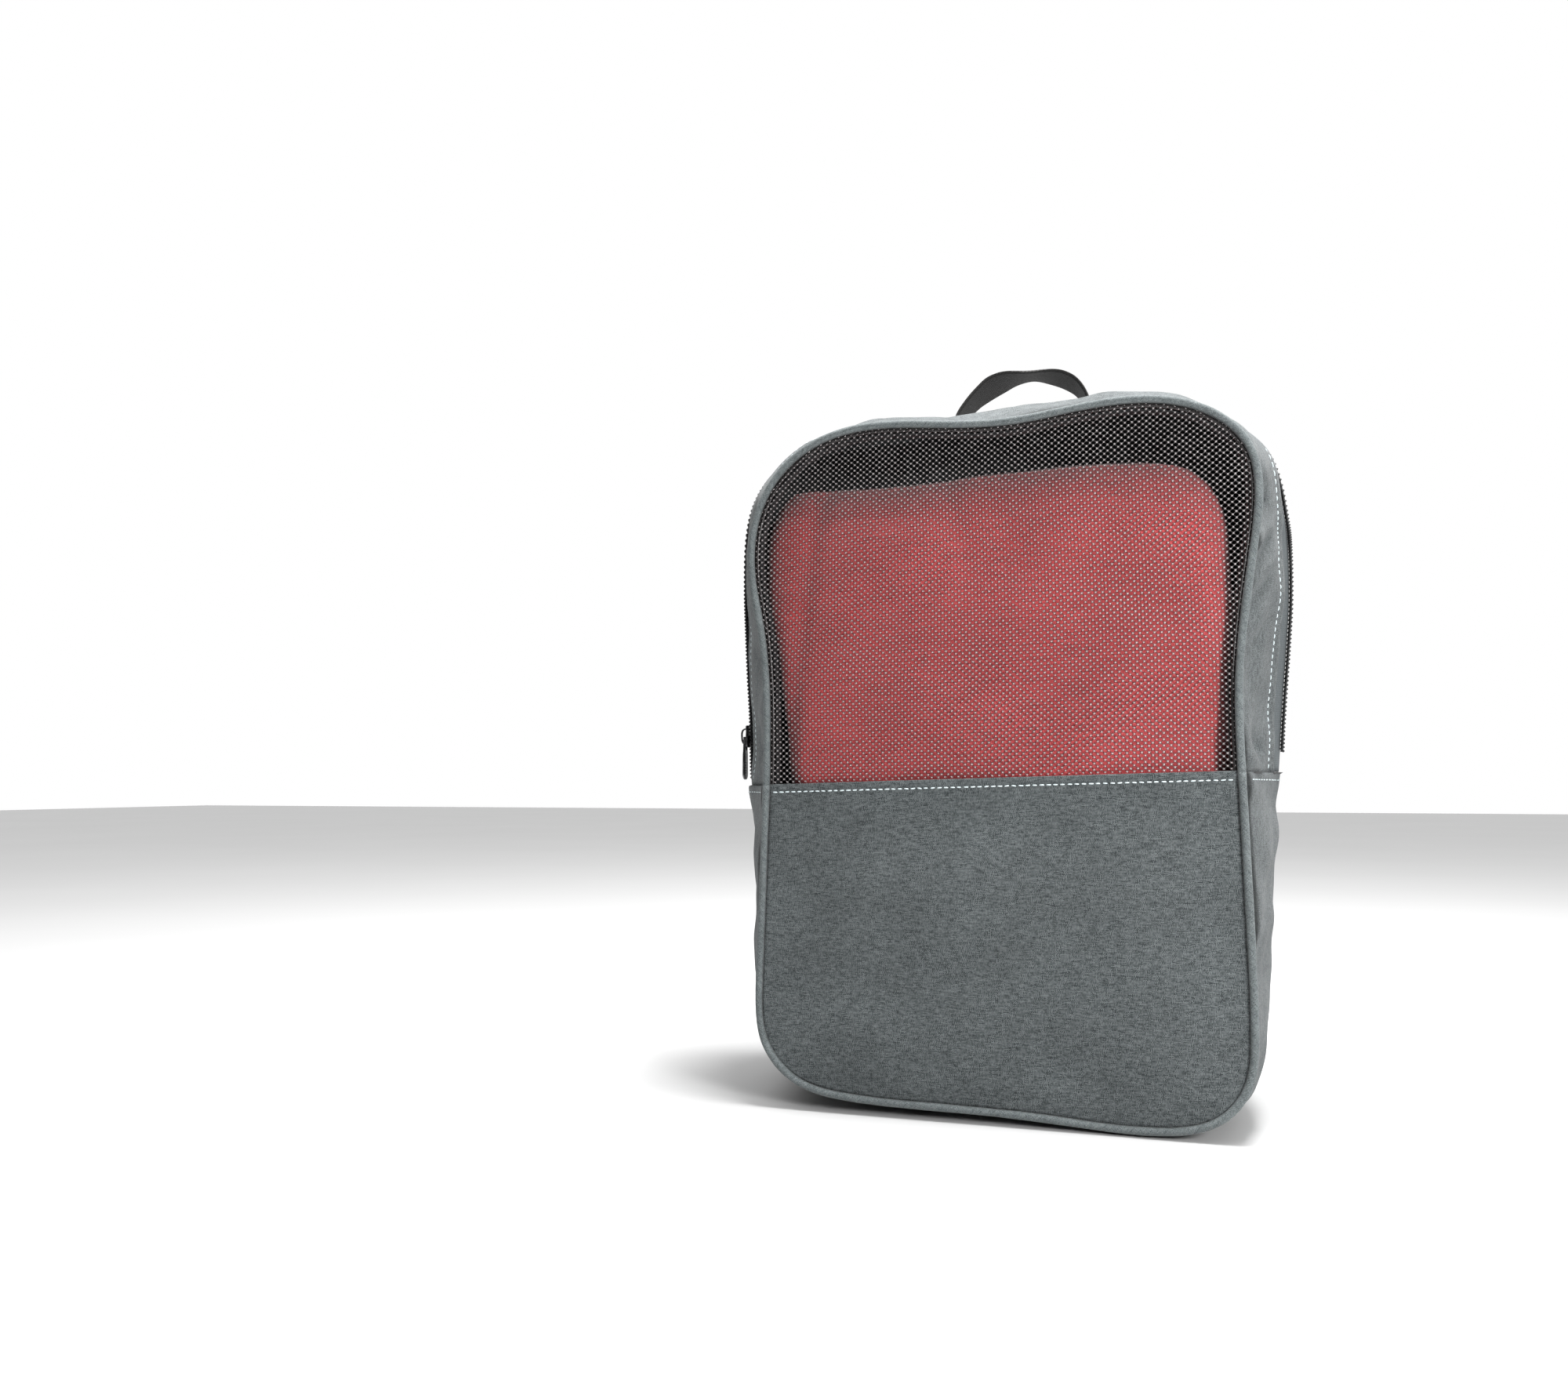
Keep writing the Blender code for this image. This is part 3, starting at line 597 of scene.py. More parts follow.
def ribbed_tape(name, dark, light, rib, cross, roughness, chevron=0.5):
    """Woven tape or webbing: ribs along its length, crossed by slanting picks."""
    paint = Paint(name, {"Roughness": roughness, "Sheen Weight": 0.04,
                         "Specular IOR Level": 0.30})
    u, v = paint.weave()
    across = paint.math("DIVIDE", v, rib)
    shift = paint.times(paint.math("PINGPONG", across, 1.0), chevron)
    picks = paint.hump(paint.math("ADD", paint.math("DIVIDE", u, cross), shift))
    height = paint.times(paint.math("POWER", paint.hump(across), 0.6),
                         paint.range(picks, 0.0, 1.0, 0.55, 1.0))
    fuzz = paint.cloud(paint.math("DIVIDE", u, 0.0016), paint.math("DIVIDE", v, 0.0005))
    # painted shade: colour follows the height of the weave, darker between ribs and picks
    share = paint.times(height, paint.range(fuzz, 0.25, 0.75, 0.5, 1.0))
    paint.colour(share, dark, light)
    paint.bump(height, rib * 0.22, 0.8)
    return paint.material


def plain_fabric(name, dark, light, pitch, roughness, sheen):
    """Plainly woven cloth in one colour, with slubs and a little fuzz."""
    paint = Paint(name, {"Roughness": roughness, "Sheen Weight": sheen,
                         "Specular IOR Level": 0.25})
    u, v = paint.weave(pitch)
    height = thread_cells(paint, u, v)[3]
    slub = paint.cloud(paint.times(u, 0.06), paint.times(v, 0.5))
    cloud = paint.cloud(paint.times(u, 0.012), paint.times(v, 0.012), detail=2.0)
    share = paint.times(paint.range(slub, 0.25, 0.75, 0.4, 1.0),
                        paint.range(cloud, 0.3, 0.7, 0.75, 1.0))
    # painted shade: darker in the hollows of the weave
    share = paint.times(share, paint.range(height, 0.0, 1.0, 0.6, 1.0))
    paint.colour(share, dark, light)
    paint.bump(height, pitch * 0.3, 0.5)
    return paint.material


def thread_material(name, dark, light):
    """Sewing thread: two plies twisted round each other."""
    paint = Paint(name, {"Roughness": 0.55, "Sheen Weight": 0.15})
    u, v = paint.weave(0.0007)
    twist = paint.hump(paint.math("ADD", u, v))
    # painted shade: darker in the groove between the plies
    paint.colour(paint.range(twist, 0.0, 0.8), dark, light)
    paint.bump(twist, 0.00008, 0.7)
    return paint.material


def coil_material(name):
    """Black nylon monofilament of the zip, faintly scratched by the slider."""
    paint = Paint(name, {"Specular IOR Level": 0.5})
    wear = paint.cloud(*paint.weave(0.0004))
    paint.colour(paint.range(wear, 0.45, 0.75), (0.006, 0.006, 0.006), (0.020, 0.020, 0.021))
    paint.rough(wear, 0.26, 0.42)
    paint.bump(wear, 0.00002, 0.4)
    return paint.material


def slider_metal(name):
    """Dark plated zinc, paler where fingers and edges have worn it."""
    paint = Paint(name, {"Metallic": 1.0})
    place = paint.node("TexCoord").outputs["Object"]
    grain = paint.noise(place, 1500.0, 4.0)
    wear = paint.noise(place, 260.0, 3.0)
    paint.colour(paint.range(wear, 0.50, 0.70), (0.055, 0.055, 0.058), (0.16, 0.16, 0.165))
    paint.rough(grain, 0.28, 0.48)
    paint.bump(grain, 0.00003, 0.3)
    return paint.material


def board_plastic(name):
    """Milky polyethylene board with a fine moulded grain."""
    paint = Paint(name, {"Specular IOR Level": 0.4})
    place = paint.node("TexCoord").outputs["Object"]
    grain = paint.noise(place, 1800.0)
    cloud = paint.noise(place, 30.0, 3.0)
    paint.colour(paint.range(cloud, 0.3, 0.7), (0.60, 0.60, 0.57), (0.70, 0.70, 0.68))
    paint.rough(grain, 0.45, 0.62)
    paint.bump(grain, 0.00006, 0.5)
    return paint.material


GREY_DARK = (0.026, 0.032, 0.034)
GREY_LIGHT = (0.135, 0.150, 0.153)
panel_cloth = melange("melange_panel", GREY_DARK, GREY_LIGHT, contrast=1.35)
gusset_cloth = melange("melange_gusset", GREY_DARK, GREY_LIGHT, contrast=1.35)
piping_cloth = melange("melange_bias", (0.058, 0.069, 0.071), (0.190, 0.213, 0.216),
                       math.radians(45))
lining = coated_back_and_shade("coated_back_and_shade")
net_yarn = black_net("net_yarn")
zip_tape_cloth = ribbed_tape("zip_tape", (0.045, 0.052, 0.056), (0.120, 0.135, 0.140),
                             0.00080, 0.00100, 0.80)
webbing = ribbed_tape("webbing", (0.005, 0.005, 0.005), (0.030, 0.028, 0.027),
                      0.00125, 0.00190, 0.62, 1.0)
binding_cloth = ribbed_tape("binding", (0.008, 0.008, 0.009), (0.032, 0.033, 0.035),
                            0.00060, 0.00080, 0.80)
cord_core = plain_fabric("cord_core", (0.42, 0.41, 0.38), (0.66, 0.65, 0.62), 0.0006, 0.7, 0.1)
red_cloth = plain_fabric("red_cloth", (0.26, 0.031, 0.034), (0.74, 0.106, 0.113), 0.0007,
                         0.85, 0.25)
pale_thread = thread_material("pale_thread", (0.36, 0.43, 0.45), (0.66, 0.74, 0.76))
black_thread = thread_material("black_thread", (0.010, 0.010, 0.010), (0.040, 0.040, 0.042))
coil_nylon = coil_material("coil_nylon")
plated = slider_metal("plated_zinc")


# ---- how a piece is tied to the frame ----------------------------------------------------
def tie(obj, body, slot, *nodes):
    """The slot is not used. The piece may stand for CAD nodes, which it hides, and rides on its
    body.

    A piece of the front flap rides on no body; its placement is baked into its points instead."""
    if body == "front_flap":
        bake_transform(obj)
    else:
        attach(obj, body)
    if nodes:
        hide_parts(*nodes)
    return obj


# ---- gusset ----------------------------------------------------------------------------
def steps(start, end, spacing=GRID):
    return np.linspace(start, end, max(2, int(abs(end - start) / spacing) + 1))


def strip_rows():
    """Depths and lifts across a gusset strip, from the piping to the fold beside the zip."""
    middle = steps(DEPTH - 0.0072, ZIP_FOLD_Y + 0.0010, 0.0018)
    depth = np.concatenate(((DEPTH - 0.0016, DEPTH - 0.0020, DEPTH - 0.0026, DEPTH - 0.0034,
                             DEPTH - 0.0044, DEPTH - 0.0056), middle,
                            (ZIP_FOLD_Y + 0.0004, ZIP_FOLD_Y + 0.0001, ZIP_FOLD_Y)))
    lift = np.concatenate(((-0.0040, -0.0036, -0.0027, -0.0016, -0.0006, -0.0001),
                           np.zeros(len(middle)), (-0.00015, -0.0004, -0.0008)))
    return depth, lift


def turned_out(side, depth, lift):
    """Rows y and lifts across a strip, in the order that faces outwards on its side."""
    order = slice(None, None, -1 if side > 0 else 1)
    return side * depth[order], lift[order]


WORDS = {-1: "front", 1: "back"}
BODIES = {-1: "front_flap", 1: "shell"}


def gusset_strip(side):
    """One half of the gusset over the top, beside the zip; side is -1 at the front."""
    t = steps(0.0, SEAM_LEFT)
    y, lift = turned_out(side, *strip_rows())
    points = gusset(t[:, None], y[None, :], lift[None, :])[0]
    return cloth(f"gusset_{WORDS[side]}_strip_cloth", points,
                 flat_coords(t[:, None], y[None, :]), gusset_cloth, lining, painted_seam_shade=True)


for side, body in BODIES.items():
    tie(gusset_strip(side), body, "grey_melange_gusset", f"gusset_{WORDS[side]}_strip")


def lower_gusset():
    """Gusset below the seams: its ends are folded over the strips and the zip's ends."""
    ends_t = np.array((0.0022, 0.0007, 0.0, 0.0002, 0.0009, 0.0018))
    ends_lift = np.array((0.0001, 0.0001, 0.0006, 0.0011, 0.0014, 0.0014))
    middle = steps(SEAM_LEFT + 0.0040, ROUND - 0.0040)
    t = np.concatenate((SEAM_LEFT + ends_t, middle, ROUND - ends_t[::-1]))
    lift = np.concatenate((ends_lift, np.full(len(middle), 0.0013), ends_lift[::-1]))
    away = np.minimum(t - SEAM_LEFT, ROUND - t)
    lift = np.where(away > 0.0030, 0.0014 * (1.0 - smooth((away - 0.004) / 0.012)), lift)
    depth, inward = strip_rows()
    edge = depth > ZIP_FOLD_Y + 0.0009
    depth, inward = depth[edge], inward[edge]
    middle_y = steps(depth[-1] - 0.0018, -depth[-1] + 0.0018, 0.0018)
    y = np.concatenate((-depth, -middle_y, depth[::-1]))
    inward = np.concatenate((inward, np.zeros(len(middle_y)), inward[::-1]))
    points = gusset(t[:, None], y[None, :], lift[:, None] + inward[None, :])[0]
    weave = flat_coords(t[:, None], y[None, :])
    return cloth("gusset_lower_cloth", points, weave, gusset_cloth, lining, painted_seam_shade=True)


tie(lower_gusset(), "shell", "grey_melange_gusset", "gusset_lower")


# ---- piping ----------------------------------------------------------------------------
def piping_line(t, y):
    """Middle of the piping, and the way out of the panel's outline."""
    row = outline(t)
    centre = np.stack((row[:, 0], np.full(len(t), y), row[:, 1]), axis=-1)
    ahead = outline(t + 0.0005)[:, :2] - outline(t - 0.0005)[:, :2]
    out = unit(np.stack((ahead[:, 1], np.zeros(len(t)), -ahead[:, 0]), axis=-1))
    return centre, out


def piping(word, start, end, y, seed):
    """Bias-cut cover and the cord in it along one stretch of the outline."""
    t = steps(start, end, 0.0016)
    centre, out = piping_line(t, y)
    facing = np.tile((0.0, -1.0, 0.0), (len(t), 1))
    uneven = 1.0 + 0.035 * waves(t, 0.0 * t, seed, 1.0, 0.040, 0.005)
    radius = (PIPING_RADIUS * uneven)[:, None]
    # the crease mark paints shade on the side of the piping turned into the bag
    cover = ring_tube(f"piping_cover_{word}_cloth", centre, out * radius,
                      facing * radius * math.copysign(1.0, -y), piping_cloth, 16, False,
                      crease=lambda angles: smooth((0.55 - np.sin(angles + 0.15)) / 0.9))
    wall = cover.modifiers.new("thickness", "SOLIDIFY")
    wall.thickness = 0.0006
    wall.offset = -1.0
    cord = ring_tube(f"piping_cord_{word}_core", centre, out * CORD_RADIUS,
                     facing * CORD_RADIUS, cord_core, 8)
    return cover, cord


STRETCHES = (                 # piece of the piping, its body, start, end and side
    ("upper", "front_flap", 0.0, SEAM_LEFT, -1),
    ("lower", "shell", SEAM_LEFT, ROUND, -1),
    ("back", "shell", 0.0, ROUND - BACK_GAP, 1),
)
PIPING_SEEDS = {-1: 31, 1: 37}
for word, body, start, end, side in STRETCHES:
    cover, cord = piping(word, start, end, side * DEPTH, PIPING_SEEDS[side])
    tie(cover, body, "grey_piping", f"piping_cover_{word}")
    tie(cord, body, "piping_cord", f"piping_cord_{word}")


# ---- tape round the seam allowances inside ------------------------------------------------
def seam_binding(word, start, end, side):
    """Black tape folded round the raw edges behind a piped seam."""
    t = steps(start, end)
    profile = ((0.0022, 0.0022), (0.0050, 0.0024), (0.0080, 0.0026), (0.0092, 0.0032),
               (0.0092, 0.0042), (0.0080, 0.0047), (0.0050, 0.0046), (0.0022, 0.0044))
    inward, lift = np.array(profile).T
    y, lift = turned_out(side, DEPTH - inward, -lift)
    centre, out = piping_line(t, 0.0)
    points = centre[:, None, :] + out[:, None, :] * lift[None, :, None]
    points[..., 1] = y[None, :]
    weave = flat_coords(t[:, None], y[None, :])
    return cloth(f"seam_binding_{word}_tape", points, weave, binding_cloth, None, 0.0005)


for word, body, start, end, side in STRETCHES:
    tie(seam_binding(word, start, end, side), body, "binding_tape", f"seam_binding_{word}")


# ---- panels ----------------------------------------------------------------------------
def sewn_edge(start, end, count):
    """Points x and z along the edge of a panel, just inside the piping."""
    centre, out = piping_line(np.linspace(start, end, count), 0.0)
    return (centre - out * PANEL_INSET)[:, [0, 2]]


def patch(bottom, top, left, right):
    """Points x and z of a sheet that fills four edges, rows from the bottom to the top."""
    a = np.linspace(0.0, 1.0, len(bottom))[None, :, None]
    b = np.linspace(0.0, 1.0, len(left))[:, None, None]
    bottom, top, left, right = bottom[None], top[None], left[:, None], right[:, None]
    ends = (1 - a) * (1 - b) * bottom[:, :1] + a * (1 - b) * bottom[:, -1:]
    ends = ends + (1 - a) * b * top[:, :1] + a * b * top[:, -1:]
    flat = (1 - b) * bottom + b * top + (1 - a) * left + a * right - ends
    return flat[..., 0], flat[..., 1]


LOW_RIGHT, LOW_LEFT = KNOTS[31] - 0.004, KNOTS[24] + 0.004     # bottom corners of a panel
TOP_RIGHT, TOP_LEFT = KNOTS[6] + 0.010, KNOTS[14] - 0.010


def lower_front_panel():
    """Melange panel below the net, with its top edge folded over."""
    across, up = 105, 72
    left = sewn_edge(LOW_LEFT, SEAM_LEFT, up)
    right = sewn_edge(LOW_RIGHT, ROUND, up)
    top_x = np.linspace(left[-1, 0], right[-1, 0], across)
    top = np.stack((top_x, seam_z(top_x)), axis=-1)
    x, z = patch(sewn_edge(LOW_LEFT, LOW_RIGHT, across), top, left, right)
    fold = smooth((z - seam_z(x) + 0.0050) / 0.0040)
    y = front_y(x, z) - 0.0004 - 0.0005 * fold
    rows = [np.stack((x, y, z), axis=-1)]
    for rise, back in ((0.0004, 0.0001), (0.0006, 0.0005), (0.0004, 0.0010), (-0.0020, 0.0011)):
        edge = rows[0][-1].copy()
        edge[:, 1] += back
        edge[:, 2] += rise
        rows.append(edge[None])
    points = np.concatenate(rows, axis=0)
    weave = flat_coords(points[..., 0], points[..., 2])
    return cloth("front_lower_panel_cloth", points, weave, panel_cloth, lining)


tie(lower_front_panel(), "shell", "grey_melange_panel", "front_lower_panel")


def back_panel():
    """The whole back, one piece of melange cloth."""
    across, up = 100, 130
    x, z = patch(sewn_edge(LOW_LEFT, LOW_RIGHT, across), sewn_edge(TOP_LEFT, TOP_RIGHT, across),
                 sewn_edge(LOW_LEFT, TOP_LEFT, up), sewn_edge(LOW_RIGHT - ROUND, TOP_RIGHT, up))
    x, z = x.T, z.T
    points = np.stack((x, back_y(x, z), z), axis=-1)
    return cloth("back_panel_cloth", points, flat_coords(x, z), panel_cloth, lining)


tie(back_panel(), "shell", "grey_melange_panel", "back_panel")

# ---- net -------------------------------------------------------------------------------
NET_PITCH = np.array((0.00310, 0.00278))     # between holes in a row, and every second row
NET_HOLE = np.array((0.00098, 0.00086))      # half-width and half-height of a hole
NET_LEAN = 0.028                             # the rows run parallel to the seam


def net_window():
    """Knitted net: holes in staggered rows, knots between them, a solid edge at the piping."""
    draw = np.random.default_rng(17)
    half = NET_PITCH / 2.0
    top = outline(np.linspace(0.0, SEAM_LEFT, 400))
    wide = int(np.abs(top[:, 0]).max() / half[0]) + 2
    tall = int((top[:, 1].max() - 0.150) / half[1]) + 2
    i, j = np.meshgrid(np.arange(-wide, wide + 1), np.arange(0, tall + 1), indexing="ij")
    i, j = i.ravel(), j.ravel()
    even = (i + j) % 2 == 0
    i, j = i[even], j[even]

    def place(col, row):
        x = col * half[0]
        z = 0.1515 + row * half[1] + NET_LEAN * x
        bow = 0.0010 * np.sin(x / 0.045 + 1.0) * smooth((z - 0.16) / 0.10)
        return x + 0.0007 * np.sin(z / 0.030 + x / 0.07), z + bow

    x, z = place(i, j)
    keep = (edge_depth(x, z) > 0.0022) & (z > seam_z(x) + 0.0002)
    i, j = i[keep], j[keep]
    around = ((2, 0), (1, 1), (0, 2), (-1, 1), (-2, 0), (-1, -1), (0, -2), (1, -1))
    keys, ring = {}, np.zeros((len(i), 8), int)
    for k, (du, dv) in enumerate(around):
        for n, key in enumerate(zip((2 * i + du).tolist(), (2 * j + dv).tolist())):
            ring[n, k] = keys.setdefault(key, len(keys))
    lattice = np.array(list(keys), float) / 2.0
    # every second crossing is a knot: it stands out further and carries a painted highlight in the
    # net's material
    knot = (np.array(list(keys))[:, 0] % 2 == 0).astype(float)
    rx, rz = place(lattice[:, 0], lattice[:, 1])
    rx = rx + draw.normal(0.0, 0.00004, len(rx))
    rz = rz + draw.normal(0.0, 0.00004, len(rz))
    rlift = np.where(knot > 0.5, 0.00040, 0.00026) + draw.normal(0.0, 0.00003, len(rx))
    cx, cz = place(i.astype(float), j.astype(float))
    size = 1.0 + draw.normal(0.0, 0.05, len(cx))
    reach = np.array([(du, dv) / np.hypot(du, dv) for du, dv in np.array(around, float)])
    hx = cx[:, None] + reach[None, :, 0] * (NET_HOLE[0] * size)[:, None]
    hz = cz[:, None] + reach[None, :, 1] * (NET_HOLE[1] * size)[:, None]
    inner = len(rx) + np.arange(len(cx) * 8).reshape(-1, 8)
    px = np.concatenate((rx, hx.ravel()))
    pz = np.concatenate((rz, hz.ravel()))
    lift = np.concatenate((rlift, np.full(hx.size, -0.00012)))
    knots = np.concatenate((knot, np.zeros(hx.size)))
    pz = np.maximum(pz, seam_z(px) - 0.0015)
    for _ in range(3):
        deep = edge_depth(px, pz)
        slope_x = (edge_depth(px + 0.0008, pz) - edge_depth(px - 0.0008, pz)) / 0.0016
        slope_z = (edge_depth(px, pz + 0.0008) - edge_depth(px, pz - 0.0008)) / 0.0016
        push = np.maximum(0.0012 - deep, 0.0)
        px, pz = px + slope_x * push, pz + slope_z * push
    verts = np.stack((px, front_y(px, pz) - lift, pz), axis=-1)
    nxt = np.roll(np.arange(8), -1)
    faces = np.stack((ring, ring[:, nxt], inner[:, nxt], inner), axis=-1).reshape(-1, 4)
    weave = flat_coords(px, pz)

    t = steps(0.0, SEAM_LEFT, 0.0015)
    centre, out = piping_line(t, -DEPTH)
    insets = np.array((0.0012, 0.0018, 0.0026, 0.0033, 0.0036))
    rises = np.array((-0.0004, 0.0000, 0.0003, 0.0002, -0.0004))
    band = centre[:, None, :] - out[:, None, :] * insets[None, :, None]
    band[..., 1] = front_y(band[..., 0], band[..., 2]) - rises[None, :]
    index = len(verts) + np.arange(band.shape[0] * band.shape[1]).reshape(band.shape[:2])
    edge = np.stack((index[:-1, :-1], index[1:, :-1], index[1:, 1:], index[:-1, 1:]), axis=-1)
    verts = np.concatenate((verts, band.reshape(-1, 3)))
    knots = np.concatenate((knots, np.zeros(band.shape[0] * band.shape[1])))
    weave = np.concatenate((weave, flat_coords(band[..., 0], band[..., 2])))
    # the knot mark places the net material's painted highlight
    obj = mesh_object("front_net", verts, faces.tolist() + edge.reshape(-1, 4).tolist(),
                      {"weave": weave, "knot": knots})
    obj.data.materials.append(net_yarn)
    return obj


tie(net_window(), "front_flap", "black_net", "front_mesh_panel")


# ---- zip -------------------------------------------------------------------------------
def zip_tape(side):
    """Woven tape under the folded edge of a gusset strip."""
    t = steps(0.0004, SEAM_LEFT - 0.0004)
    y = np.array((0.0160, 0.0150, 0.0130, 0.0110, 0.0090, 0.0070, 0.0055, 0.0042,
                  0.0030, 0.0018, 0.0008, 0.0004))
    lift = -0.0006 - 0.0007 * smooth((y - 0.0040) / 0.0045)
    y, lift = turned_out(side, y, lift)
    points = gusset(t[:, None], y[None, :], lift[None, :])[0]
    return cloth(f"zip_tape_{WORDS[side]}_cloth", points, flat_coords(t[:, None], y[None, :]),
                 zip_tape_cloth, None, TAPE_THICK)


def squared(wave, power):
    """A wave with flatter tops."""
    return np.sign(wave) * np.abs(wave) ** power


def zip_coil(side):
    """Flattened spiral of monofilament along the tape's edge."""
    start, end = ZIP_END, SEAM_LEFT - 0.003
    per_turn = 12
    count = int((end - start) / COIL_PITCH * per_turn)
    turn = np.arange(count) / per_turn + (0.5 if side > 0 else 0.0)
    t = start + COIL_PITCH * turn
    angle = 2.0 * math.pi * turn
    across, up = squared(np.cos(angle), 0.8), squared(np.sin(angle), 0.8)
    y = side * (COIL_Y + 0.0014 * across)
    base, out = gusset(t, 0.0 * t)
    centre = base + out * (0.0003 + 0.00065 * up)[:, None]
    centre[:, 1] = y
    ahead = unit(np.gradient(centre, axis=0))
    line = unit(gusset(t + 0.001, 0.0 * t)[0] - gusset(t - 0.001, 0.0 * t)[0])
    first = unit(line - ahead * (line * ahead).sum(-1, keepdims=True))
    second = np.cross(ahead, first)
    word = WORDS[side]
    spiral = ring_tube(f"zip_coil_{word}_spiral", centre, first * 0.00042, second * 0.00036,
                       coil_nylon, 6)
    t = steps(start, end, 0.003)
    core, out = gusset(t, 0.0 * t, 0.0002)
    core[:, 1] = side * COIL_Y
    across = np.tile((0.0, 0.00105, 0.0), (len(t), 1))
    cord = ring_tube(f"zip_cord_{word}", core, across, out * 0.00050, black_thread, 10)
    return spiral, cord


for side, body in BODIES.items():
    tie(zip_tape(side), body, "zip_tape", f"zip_tape_{WORDS[side]}")
for side, body in BODIES.items():
    for piece in zip_coil(side):
        tie(piece, body, "zip_coil", f"zip_coil_{WORDS[side]}")


# ---- stitching -------------------------------------------------------------------------
def along_gusset(y, lift):
    return lambda s: gusset(s, np.full(s.shape, y), lift)


def across_gusset(t, lift):
    return lambda s: gusset(np.full(s.shape, t), s, lift)


def along_front(drop):
    """Line on the front panel, below the seam."""
    def where(s):
        z = seam_z(s) - drop
        points = np.stack((s, front_y(s, z) - 0.0009, z), axis=-1)
        return points, np.broadcast_to((0.0, -1.0, 0.0), points.shape)
    return where


for side, body, seed in ((-1, BODIES[-1], 41), (1, BODIES[1], 42)):
    tie(stitches(f"stitches_zip_{WORDS[side]}", along_gusset(side * ZIP_STITCH_Y, 0.0001), 0.0015,
                 SEAM_LEFT - 0.002, pale_thread, seed=seed), body, "white_thread")
tie(stitches("stitches_front_seam", along_front(SEAM_STITCH_DROP), -0.1055, 0.1060, pale_thread,
             seed=43), "shell", "white_thread")
for word, t in (("right", ROUND - SEAM_STITCH_DROP), ("left", SEAM_LEFT + SEAM_STITCH_DROP)):
    row = stitches(f"stitches_gusset_seam_{word}", across_gusset(t, 0.0014), -DEPTH + 0.007,
                   DEPTH - 0.007, pale_thread, radius=0.00022, pitch=0.0042, seed=44)
    tie(row, "shell", "white_thread")


# ---- slider ----------------------------------------------------------------------------
def joint(name):
    return next(j for j in frame["joints"] if j["name"] == name)


def sharp_edged(name, data):
    """A new object, smooth but for its sharp edges."""
    data.shade_smooth()
    data.set_sharp_from_angle(angle=math.radians(50))
    return placed(name, data)


def plate(name, outlines, thickness, edge, place, material):
    """A flat outline with holes, with rounded edges, stood in place."""
    curve = bpy.data.curves.new(name, "CURVE")
    curve.dimensions = "2D"
    curve.fill_mode = "BOTH"
    curve.extrude = thickness / 2.0 - edge
    curve.bevel_depth = edge
    curve.bevel_resolution = 2
    curve.offset = -edge
    for points in outlines:
        spline = curve.splines.new("POLY")
        spline.points.add(len(points) - 1)
        for target, (u, v) in zip(spline.points, points):
            target.co = (u, v, 0.0, 1.0)
        spline.use_cyclic_u = True
    shape = placed(name + "_curve", curve)
    bpy.context.view_layer.update()
    ready = shape.evaluated_get(bpy.context.evaluated_depsgraph_get())
    data = bpy.data.meshes.new_from_object(ready)
    bpy.data.objects.remove(shape)
    data.transform(place)
    mesh = bmesh.new()
    mesh.from_mesh(data)
    bmesh.ops.remove_doubles(mesh, verts=mesh.verts, dist=0.000002)
    bmesh.ops.recalc_face_normals(mesh, faces=mesh.faces)
    mesh.to_mesh(data)
    mesh.free()
    data.name = name
    data.materials.clear()
    data.materials.append(material)
    return sharp_edged(name, data)


def arc(centre, radius, start, end, count=8):
    """Points on an arc, angles in degrees."""
    angles = np.radians(np.linspace(start, end, count))
    return [(centre[0] + radius * math.cos(a), centre[1] + radius * math.sin(a)) for a in angles]


swing = joint("pull_tab_swing")
slide_axis = Vector(joint("zip_slide")["axis"])
slide_lean = math.atan2(-slide_axis.x, slide_axis.z)
pivot = Vector(swing["pos_m"])
lean_turn = Matrix.Rotation(-slide_lean, 4, "Y")
SLIDER_PIVOT = Vector((-0.0043, 0.0, -0.0012))      # the pull's pivot, from the slider's middle
slider_place = Matrix.Translation(pivot - lean_turn.to_3x3() @ SLIDER_PIVOT) @ lean_turn
# plates are drawn in u (across, +Y) and v (along the zip); their thickness is along X
side_on = Matrix(((0.0, 0.0, 1.0, 0.0), (1.0, 0.0, 0.0, 0.0), (0.0, 1.0, 0.0, 0.0),
                  (0.0, 0.0, 0.0, 1.0)))


def slider_wing(name, x):
    """Shield-shaped wing: wide mouth below, narrow throat above."""
    outline_points = [
        *arc((-0.0033, -0.0045), 0.0015, 180, 270, 5),
        *arc((0.0033, -0.0045), 0.0015, 270, 360, 5),
        (0.0048, -0.0020), (0.0042, 0.0005), (0.0037, 0.0022),
        *arc((0.0024, 0.0047), 0.0013, 0, 90, 5),
        *arc((-0.0024, 0.0047), 0.0013, 90, 180, 5),
        (-0.0037, 0.0022), (-0.0042, 0.0005), (-0.0048, -0.0020),
    ]
    place = slider_place @ Matrix.Translation((x, 0.0, 0.0)) @ side_on
    return plate(name, [outline_points], 0.0011, 0.00030, place, plated)


def joined(name, pieces):
    """Several shells as one object."""
    mesh = bmesh.new()
    for piece in pieces:
        mesh.from_mesh(piece.data)
    data = bpy.data.meshes.new(name)
    mesh.to_mesh(data)
    mesh.free()
    for material in pieces[0].data.materials:
        data.materials.append(material)
    for piece in pieces:
        bpy.data.objects.remove(piece)
    return sharp_edged(name, data)


outer_wing = slider_wing("slider_outer", -0.0022)
inner_wing = slider_wing("slider_inner", 0.0042)
post = plate("slider_post", [[(-0.0004, -0.0035), (0.0004, -0.0035), (0.0004, 0.0005),
                              (-0.0004, 0.0005)]], 0.0062, 0.00015,
             slider_place @ Matrix.Translation((0.0010, 0.0, 0.0)) @ side_on, plated)
tie(joined("zip_slider_body", [outer_wing, inner_wing, post]), "slider", "slider_metal",
      "slider_body")


